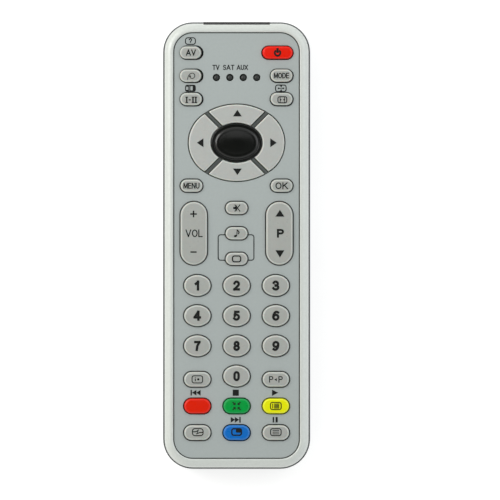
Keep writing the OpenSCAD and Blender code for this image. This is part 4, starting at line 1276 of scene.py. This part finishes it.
@dataclass
class Face:
    """The inlaid grey face with its openings and prints."""

    keys: list[KeyCap]
    pad: DirectionPad
    corner_r: float = 6.85
    light_hole_r: float = 1.35
    bevel: float = 0.12
    groove: float = 0.34
    # Height of the painted shade in the groove over the face's seat
    glue_rise: float = 0.06
    labels: tuple[tuple[str, float, float], ...] = (("TV", -7.6, 2.6), ("SAT", -2.9, 4.2),
                                                    ("AUX", 2.1, 4.2))
    label_row: float = 65.6
    label_height: float = 1.9
    label_stroke: float = 0.32
    first_row: float = -54.2
    second_row: float = -64.15
    columns: tuple[float, ...] = (-15.1, -0.3, 14.2)
    screen_rows: tuple[float, ...] = (75.3, 57.9)
    screen_columns: tuple[float, ...] = (-17.0, 16.3)
    bracket_x: tuple[float, float] = (-6.78, 6.38)
    bracket_y: tuple[float, float] = (-5.4, 3.96)
    bracket_inner: float = 3.8
    bracket_r: float = 0.9
    bracket_points: int = 8
    lights: int = 4
    light_points: int = 48
    corner_points: int = 24
    bevel_steps: int = 2

    def build(self) -> None:
        """Fills the face's outline less its openings as a flat curve and makes that a mesh."""
        low, high = box_mm("faceplate")
        size = high - low
        outer = round_box(size[0], size[1], self.corner_r, self.corner_points)
        holes = [key.opening() for key in self.keys] + [self.pad.opening()]
        light_hole = whole_circle(self.light_hole_r, self.light_points)
        holes += [light_hole + place for place in self.light_places()]
        curve = bpy.data.curves.new("face_outline", "CURVE")
        curve.dimensions = "2D"
        curve.fill_mode = "BOTH"
        curve.extrude = (size[2] / 2 - self.bevel) * MM
        curve.bevel_depth = self.bevel * MM
        curve.bevel_resolution = self.bevel_steps
        curve.offset = -self.bevel * MM
        for points in [outer] + holes:
            spline = curve.splines.new("POLY")
            spline.points.add(len(points) - 1)
            row = np.column_stack([points * MM, np.zeros(len(points)), np.ones(len(points))])
            spline.points.foreach_set("co", row.ravel())
            spline.use_cyclic_u = True
        holder = linked("face_outline", curve)
        graph = bpy.context.evaluated_depsgraph_get()
        mesh = bpy.data.meshes.new_from_object(holder.evaluated_get(graph))
        points = np.empty(len(mesh.vertices) * 3)
        mesh.vertices.foreach_get("co", points)
        points = points.reshape(-1, 3) / MM + np.array([0, 0, (low[2] + high[2]) / 2])
        faces = [list(polygon.vertices) for polygon in mesh.polygons]
        bpy.data.objects.remove(holder)
        bpy.data.curves.remove(curve)
        bpy.data.meshes.remove(mesh)
        piece = make_piece("face_inlay", points, faces, GREY_LACQUER)
        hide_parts("faceplate")
        self.lay_glue(size, low[2])
        self.print_face(high[2])

    def lay_glue(self, size: np.ndarray, seat: float) -> None:
        """Lays a dark line at the bottom of the groove between the face and the rim: painted shade."""
        line = round_box(size[0] + self.groove, size[1] + self.groove,
                         self.corner_r + self.groove / 2, self.corner_points)
        print_on("face_groove_shade_line", [ribbon(line, self.groove, closed=True)],
                 level_at(seat + self.glue_rise), finish=GROOVE_SHADE_SHEET)

    def light_places(self) -> np.ndarray:
        """Places of the mode lights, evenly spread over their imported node."""
        low, high = box_mm("mode_leds")
        radius = (high[1] - low[1]) / 2
        x = np.linspace(low[0] + radius, high[0] - radius, self.lights)
        return np.column_stack([x, np.full(self.lights, (low[1] + high[1]) / 2)])

    def print_face(self, top: float) -> None:
        """Prints the words over the lights, the transport signs, the small screens and the bracket."""
        words = [(lettering(word, width, self.label_height, self.label_stroke), x, self.label_row)
                 for word, x, width in self.labels]
        signs = words + self.transport_signs() + self.small_screens()
        shapes = [shape for sign, x, y in signs for shape in placed(sign, x, y)]
        print_on("face_print", shapes + self.bracket(), level_at(top))

    def transport_signs(self) -> list[Sign]:
        """Back, stop and play over the row of the red key, forward and pause over the last row."""
        left, middle, right = self.columns
        back = [bar(0.5, 2.1).moved(-1.6, 0)]
        back += [arrow(1.6, 2.1).turned(180).moved(x, 0) for x in (-0.5, 1.05)]
        forward = [bar(0.5, 2.1).moved(1.55, 0)] + [arrow(1.6, 2.1).moved(x, 0) for x in (-1.05, 0.45)]
        pause = [bar(0.55, 2.0).moved(-0.65, 0), bar(0.8, 2.0).moved(0.55, 0)]
        return [(back, left, self.first_row), ([bar(2.25, 2.25)], middle, self.first_row),
                ([arrow(2.3, 2.25)], right, self.first_row), (forward, middle, self.second_row),
                (pause, right, self.second_row)]

    def small_screens(self) -> list[Sign]:
        """Three small screens over the upper side keys."""
        hook = np.concatenate([arc((0, 0.42), 0.42, 170, -50, HOOK_POINTS), [[-0.05, -0.25], [0, -0.5]]])
        ask = [box_line(4.0, 2.8, 1.05, LINE), ribbon(hook, LINE)]
        page = [box_line(3.95, 2.6, 0.85, LINE), bar(0.75, 2.3).moved(1.4, 0),
                box_line(1.6, 2.3, 0.6, LINE).moved(0.4, 0), bar(1.1, LINE).moved(-1.1, 0.75),
                bar(1.1, LINE).moved(-1.1, -0.75), bar(THIN, 1.6).moved(-0.75, 0)]
        shift = [box_line(4.25, 2.75, 0.95, LINE), arrow(0.95, 1.0).turned(-90).moved(0.1, 0.72),
                 arrow(0.95, 1.0).turned(90).moved(0.1, -0.72), bar(1.6, 0.22).moved(0.05, 0),
                 dot(0.32).moved(-0.8, 0), dot(0.32).moved(0.9, 0)]
        upper, lower = self.screen_rows
        left, right = self.screen_columns
        return [(ask, left, upper), (page, left, lower), (shift, right, lower)]

    def bracket(self) -> list[Flat]:
        """Two lines with round corners that tie the sound key and the picture key together."""
        r = self.bracket_r
        left, right = self.bracket_x
        bottom, top = self.bracket_y
        inner = self.bracket_inner
        count = self.bracket_points
        run = [(-inner, top), *arc((left + r, top - r), r, 90, 180, count),
               *arc((left + r, bottom + r), r, 180, 270, count), (-inner, bottom)]
        other = [(inner, bottom), *arc((right - r, bottom + r), r, -90, 0, count),
                 *arc((right - r, top - r), r, 0, 90, count), (inner, top)]
        return [ribbon(np.array(path), LINE) for path in (run, other)]


def dress(nodes: dict[str, Finish]) -> None:
    """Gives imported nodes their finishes.

    Args:
        nodes: A finish for each node that stays as packed.
    """
    for name, finish in nodes.items():
        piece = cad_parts[name]
        piece.data.materials.clear()
        piece.data.materials.append(finish.material())
        log.info("%s: packed shape, %s", name, finish.name)


@dataclass
class Case:
    """The two halves, the door and the window, as packed, with the window's brow and an arrow."""

    window_w: float = 24.4
    shoulder_r: float = 2.6
    brow_inset: float = 0.38
    brow_rise: float = 0.05
    brow_sink: float = 0.1
    brow_steps: int = 14
    brow_rows: int = 60
    mark_y: float = -43.0
    mark_length: float = 5.0
    mark_breadth: float = 8.0
    mark_rise: float = 0.12
    mark_root: float = 0.1

    def dress(self) -> None:
        """Gives each its finish."""
        dress({"upper_shell": SILVER_LACQUER, "lower_shell": DARK_ABS, "battery_door": DARK_ABS,
               "ir_window": INFRARED_ACRYLIC, "direction_frame": BLACK_ABS})

    def raise_arrow(self) -> None:
        """Raises an arrow on the outside of the battery door that shows which way it slides."""
        level = box_mm("battery_door")[0][2]
        sign = arrow(self.mark_length, self.mark_breadth).turned(-90).moved(0, self.mark_y)
        mesh = print_mesh([sign], level_at(level), self.mark_root, self.mark_rise)
        make_piece("battery_door_arrow", *mesh, POLISHED_DARK_ABS, "battery_door")

    def build_brow(self) -> None:
        """Builds the dark strip by which the window laps up over the shoulder of the upper half.

        Its outer surface is the shoulder's round moved out by the rise: the round's middle plus its
        radius times the cosine of an angle along y and its sine along z. It starts at the
        window's top and ends where the round has gone in by the inset.
        """
        window_high = box_mm("ir_window")[1]
        shell_high = box_mm("upper_shell")[1]
        centre = shell_high[1:] - self.shoulder_r
        first = math.asin((window_high[2] - centre[1]) / self.shoulder_r)
        last = math.acos(1 - self.brow_inset / self.shoulder_r)
        turn = np.linspace(first, last, self.brow_steps)
        half = self.window_w / 2
        across = np.linspace(-half, half, self.brow_rows)
        sheets = []
        for radius in (self.shoulder_r + self.brow_rise, self.shoulder_r - self.brow_sink):
            sheet = np.empty((len(across), len(turn), 3))
            sheet[..., 0] = across[:, None]
            sheet[..., 1:] = centre + radius * unit(turn)
            sheets.append(sheet)
        make_piece("window_brow", *thick_sheet(*sheets), INFRARED_ACRYLIC)


@dataclass
class Screws:
    """Two screws with a cross in the head and a thread, from the back into the upper half."""

    head_r: float = 2.0
    head_h: float = 1.5
    head_edge: float = 0.3
    shank_r: float = 1.0
    thread_h: float = 0.22
    pitch: float = 0.9
    tip_l: float = 1.0
    tip_r: float = 0.1
    cross_half: float = 1.3
    cross_w: float = 0.6
    cross_depth: float = 0.8
    cross_slope: float = 0.14
    around: int = 72
    thread_steps: int = 8
    edge_steps: int = 6
    face_rings: int = 30

    def build(self) -> None:
        """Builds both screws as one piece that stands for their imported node."""
        low, high = box_mm("case_screws")
        x = high[0] - self.head_r
        y = (low[1] + high[1]) / 2
        rings, painted_cross_shade = self.surface(low[2], high[2])
        points, faces = loft(rings)
        left, right = [(points + np.array([side, y, 0]), faces) for side in (-x, x)]
        # The cross's depth also lays painted shade, in the edge colour, at the bottom of the cross
        mark = np.tile(np.concatenate([painted_cross_shade.ravel(), [0.0, 1.0]]), 2)
        piece = make_piece("case_screw_pair", *joined(left, right), ZINC_PLATE, edge=mark)
        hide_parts("case_screws")

    def surface(self, bottom: float, top: float) -> tuple[np.ndarray, np.ndarray]:
        """Works out one screw on a grid of rings, from its tip down to the middle of its head.

        Down the shank the radius swings by the thread's height with the cosine of height over
        pitch less angle. The head's edge is a quarter circle, and its flat face rises into the
        cross.

        Args:
            bottom: Height of the head's face.
            top: Height of the tip.

        Returns:
            The rings, and how deep each point lies in the cross, from 0 to 1.
        """
        turn = -full_turn(self.around)
        neck = bottom + self.head_h
        shank_z = np.arange(top - self.tip_l, neck, -self.pitch / self.thread_steps)
        swing = np.cos(2 * np.pi * shank_z[:, None] / self.pitch - turn)
        inward, downward = quarter_round(self.edge_steps)
        edge_r = self.head_r - self.head_edge * inward
        edge_z = bottom + self.head_edge * downward
        face_r = np.linspace(edge_r[-1], self.tip_r, self.face_rings)[1:]
        head_r = np.concatenate([[self.shank_r, self.head_r], edge_r, face_r])
        head_z = np.concatenate([[neck, neck], edge_z, np.full(len(face_r), bottom)])
        radius = np.concatenate([np.full((1, self.around), self.tip_r),
                                 self.shank_r - self.thread_h * (1 + swing) / 2,
                                 np.repeat(head_r[:, None], self.around, axis=1)])
        flat = radius[..., None] * unit(turn)
        depth = self.cross(flat)
        depth[:-len(face_r)] = 0
        height = np.concatenate([[top], shank_z, head_z])[:, None] + self.cross_depth * depth
        return raised(flat, height), depth

    def cross(self, flat: np.ndarray) -> np.ndarray:
        """Share of the cross's depth: one inside either slot, falling to zero over the slope."""
        away = np.abs(flat)
        reach = np.array([self.cross_half, self.cross_w / 2])
        inside = np.maximum((reach - away).min(axis=-1), (reach[::-1] - away).min(axis=-1))
        share = np.clip(inside / self.cross_slope, 0, 1)
        return share ** 2 * (3 - 2 * share)


@dataclass
class Electronics:
    """The mat, the board and what sits on it, as packed."""

    def dress(self) -> None:
        """Gives each its finish."""
        dress({"keypad_mat": GREY_SILICONE, "circuit_board": SOLDER_MASK, "mode_leds": SMOKED_EPOXY,
               "ir_led": VIOLET_EPOXY, "controller_chip": CHIP_EPOXY, "drive_transistor": CHIP_EPOXY,
               "chip_resistors": CHIP_EPOXY, "resonator": DIPPED_CERAMIC, "storage_capacitor": BLUE_FILM})


@dataclass
class Power:
    """Two cells, their contacts and springs.

    The can's foot is rows of distance from the cell's flat end and radius, and its shoulder is
    rows of distance from the end of the cell's body and radius.
    """

    cell_r: float = 5.25
    around: int = 64
    can_foot: tuple[tuple[float, float], ...] = ((0.0, 3.6), (0.0, 4.4), (0.3, 4.9))
    can_start: float = 0.7
    can_stop: float = 0.6
    can_shoulder: tuple[tuple[float, float], ...] = ((-0.2, 4.8), (0.0, 4.2))
    film: float = 0.12
    film_edge: float = 0.9
    film_tuck: float = 0.1
    film_fold: float = 0.08
    film_drop: float = 0.06
    film_seam: float = 0.02
    copper_share: float = 0.28
    nub_r: float = 1.9
    nub_h: float = 1.0
    nub_edge: float = 0.25
    nub_taper: float = 0.3
    wire_r: float = 0.3
    spring_r0: float = 3.6
    spring_r1: float = 2.6
    spring_turns: int = 4
    turn_steps: int = 28
    wire_sides: int = 12
    spring_fit: float = 0.05
    sign_size: float = 3.6
    sign_line: float = 0.75
    minus_at: float = 5.0

    def build(self) -> None:
        """Builds the cells and the springs and dresses the plates."""
        plates = ("positive_plate", "negative_plate", "bridge_plate")
        dress({plate: NICKEL_PLATE for plate in plates})
        self.build_cell("battery_left", 1)
        self.build_cell("battery_right", -1)
        self.build_springs()

    def revolve(self, profile: np.ndarray, start: np.ndarray, way: int) -> np.ndarray:
        """Turns a profile about an axis along y: rings of the profile's radius at its distance.

        Args:
            profile: Rows of distance along the axis and radius.
            start: Where the axis starts.
            way: One to run along +y, minus one to run along -y.

        Returns:
            Rings for a loft.
        """
        ring = upright(full_turn(self.around) * -way)
        along = np.array([0.0, way, 0.0])
        return start + ring * profile[:, 1, None, None] + along * profile[:, 0, None, None]

    def build_cell(self, node: str, way: int) -> None:
        """Builds a cell: a steel can with a raised terminal, and the printed film round it.

        Args:
            node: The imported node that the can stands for.
            way: One where the cell points along +y, minus one along -y.
        """
        low, high = box_mm(node)
        length = high[1] - low[1]
        end = low[1] if way > 0 else high[1]
        start = np.array([(low[0] + high[0]) / 2, end, (low[2] + high[2]) / 2])
        body = length - self.nub_h
        r = self.cell_r - self.film
        shoulder = [(body + past, radius) for past, radius in self.can_shoulder]
        nub = [(body, self.nub_r), (length - self.nub_edge, self.nub_r),
               (length, self.nub_r - self.nub_taper)]
        can = np.array([*self.can_foot, (self.can_start, r), (body - self.can_stop, r), *shoulder, *nub])
        piece = make_piece(f"{node}_can", *loft(self.revolve(can, start, way)), NICKEL_PLATE)
        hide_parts(node)
        split = body * (1 - self.copper_share)
        last_film = body - self.film_edge
        tuck = r - self.film_tuck
        edge = self.cell_r - self.film_drop
        for name, first, last, finish in (("film", self.film_edge, split, GRAPHITE_FILM),
                                          ("end_film", split + self.film_seam, last_film, COPPER_FILM)):
            sleeve = np.array([(first, tuck), (first, edge), (first + self.film_fold, self.cell_r),
                               (last - self.film_fold, self.cell_r), (last, edge), (last, tuck)])
            make_piece(f"{node}_{name}", *loft(self.revolve(sleeve, start, way)), finish)
        self.print_poles(node, start, way, (split + last_film) / 2)

    def print_poles(self, node: str, start: np.ndarray, way: int, plus_at: float) -> None:
        """Prints plus and minus on a cell's film, towards the door.

        The flat signs are bent round the cell: the distance across becomes an angle, measured
        from straight down, and the height adds to the cell's radius.

        Args:
            node: The cell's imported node.
            start: Where the cell's axis starts.
            way: One where the cell points along +y, minus one along -y.
            plus_at: Distance of the plus from the start.
        """
        half = (self.sign_size - self.sign_line) / 2
        across = ribbon(np.array([[-half, 0.0], [half, 0.0]]), self.sign_line)
        along = across.turned(90)
        signs = placed([across, along], 0, -way * plus_at) + placed([across], 0, -way * self.minus_at)
        points, faces = print_mesh(signs, level_at(self.cell_r))
        bent = upright(points[:, 0] / self.cell_r - np.pi / 2) * points[:, 2:]
        bent[:, 1] -= points[:, 1]
        make_piece(f"{node}_poles", bent + start, faces, PALE_INK)

    def build_springs(self) -> None:
        """Sweeps a round wire along two conical helices and joins them in one piece."""
        low, high = box_mm("contact_springs")
        cell_low, cell_high = box_mm("battery_left")
        x = abs(cell_low[0] + cell_high[0]) / 2
        z = (cell_low[2] + cell_high[2]) / 2
        length = cell_low[1] - low[1] - 2 * self.spring_fit
        left = self.spring(np.array([-x, low[1], z]), 1, length)
        right = self.spring(np.array([x, high[1], z]), -1, length)
        piece = make_piece("contact_spring_coils", *joined(left, right), NICKEL_PLATE)
        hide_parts("contact_springs")

    def spring(self, start: np.ndarray, way: int, length: float) -> Mesh:
        """A tube along a helix whose radius shrinks evenly from the plate to the cell.

        Args:
            start: Where the helix's axis leaves the plate.
            way: One for +y, minus one for -y.
            length: Height of the spring over its wire.

        Returns:
            Points and faces.
        """
        t = np.linspace(0, 1, self.spring_turns * self.turn_steps + 1)
        turn = 2 * np.pi * self.spring_turns * t
        radius = self.spring_r0 + (self.spring_r1 - self.spring_r0) * t
        out = upright(turn) * np.array([way, 1, 1])
        rise = self.wire_r + t * (length - 2 * self.wire_r)
        along = np.array([0, way, 0])
        path = start + out * radius[:, None] + along * rise[:, None]
        side = full_turn(self.wire_sides)[:, None]
        section = out[:, None] * np.cos(side) + along * np.sin(side)
        return loft(path[:, None] + section * self.wire_r)


# Studio


# Grey opal acrylic of a light table, lit from below: it looks white and shadows on it stay faint
LIGHT_TABLE = Finish("opal_acrylic_light_table", "#BABABA", "#B8B8B8", 0.8, 40.0, 0.6, 0.004, glow=1.4)


@dataclass(frozen=True)
class SoftBox:
    """A square area light: where it hangs and its side, in metres, and its power in watts."""

    name: str
    place: tuple[float, float, float]
    size: float
    watts: float

    def hang(self) -> None:
        """Adds the light to the scene, facing the middle of the remote control."""
        lamp = bpy.data.lights.new(self.name, "AREA")
        lamp.shape = "SQUARE"
        lamp.size = self.size
        lamp.energy = self.watts
        holder = linked(self.name, lamp)
        holder.location = self.place
        x, y, z = self.place
        holder.rotation_euler = (math.atan2(math.hypot(x, y), z), 0, math.atan2(y, x) + math.pi / 2)


@dataclass
class Studio:
    """A light table for a floor, soft light from the upper left and a camera straight above."""

    photo_width: float = 184.3
    aim_x: float = 4.94
    aim_y: float = -1.64
    aim_z: float = 16.0
    lens: float = 1000.0
    sensor: float = 36.0
    floor_half: float = 1.5
    floor_drop: float = 0.02
    lights: tuple[SoftBox, ...] = (SoftBox("key_light", (-0.46, 0.24, 0.56), 0.45, 2.75),
                                   SoftBox("top_light", (0.0, 0.30, 0.62), 0.25, 0.12),
                                   SoftBox("fill_light", (0.48, 0.20, 0.56), 0.60, 1.1))
    tent: float = 1.18
    tent_top: float = 0.08
    tent_edge: tuple[float, float] = (0.7, 0.95)
    tent_front: float = 0.82
    tent_back: float = 0.93
    tent_left: str = "#FAF8EF"
    tent_right: str = "#F3F8FB"
    tent_side: float = 0.8

    def build(self) -> None:
        """Adds the floor, the lights, the surroundings and the camera."""
        self.floor()
        for light in self.lights:
            light.hang()
        self.surroundings()
        self.camera()

    def floor(self) -> None:
        """A wide sheet of opal acrylic just under the case."""
        half = self.floor_half / MM
        corners = np.array([[-half, -half], [half, -half], [half, half], [-half, half]])
        mesh = bpy.data.meshes.new("floor")
        points = np.column_stack([corners, np.full(4, -self.floor_drop)]) * MM
        mesh.from_pydata(points.tolist(), [], [[0, 1, 2, 3]])
        mesh.materials.append(LIGHT_TABLE.material())
        sheet = linked("floor", mesh)

    def surroundings(self) -> None:
        """A white light tent that fills the shadows, darker at the top where the camera looks in.

        It is a little warm on the left and cool on the right, and brighter at the back than at
        the front, as the rim shows.
        """
        world = bpy.data.worlds.new("studio")
        world.use_nodes = True
        tree = world.node_tree
        place = add_node(tree, "ShaderNodeTexCoord").outputs["Generated"]
        way = add_node(tree, "ShaderNodeSeparateXYZ", None, {"Vector": place}).outputs
        glow = mapped(tree, way["Z"], self.tent_edge, (self.tent, self.tent_top), "SMOOTHSTEP")
        lean = mapped(tree, way["Y"], (-1.0, 1.0), (self.tent_front, self.tent_back))
        strength = add_node(tree, "ShaderNodeMath", {"operation": "MULTIPLY"}, {0: glow, 1: lean})
        side = mapped(tree, way["X"], (-self.tent_side, self.tent_side))
        tint = mixed(tree, side, linear(self.tent_left), linear(self.tent_right))
        fill(tree, tree.nodes["Background"], {"Strength": strength.outputs["Value"], "Color": tint})
        bpy.context.scene.world = world
        bpy.context.scene.view_settings.view_transform = "Standard"

    def camera(self) -> None:
        """A long lens straight above, so that the keys stand upright as in the photograph."""
        lens = bpy.data.cameras.new("camera")
        lens.lens = self.lens
        lens.sensor_width = self.sensor
        holder = linked("camera", lens)
        away = self.photo_width * self.lens / self.sensor
        holder.location = (self.aim_x * MM, self.aim_y * MM, (self.aim_z + away) * MM)
        bpy.context.scene.camera = holder


def main() -> None:
    """Builds the sub-assemblies in order."""
    logging.basicConfig(level=logging.INFO, format="%(message)s")
    Studio().build()
    mat_top = box_mm("keypad_mat")[1][2]
    keys = keypad()
    for key in keys:
        key.build(mat_top)
        key.print_legend()
    pad = DirectionPad()
    pad.build()
    Face(keys, pad).build()
    case = Case()
    case.dress()
    case.build_brow()
    case.raise_arrow()
    Screws().build()
    Electronics().dress()
    Power().build()


if __name__ == "__main__":
    main()
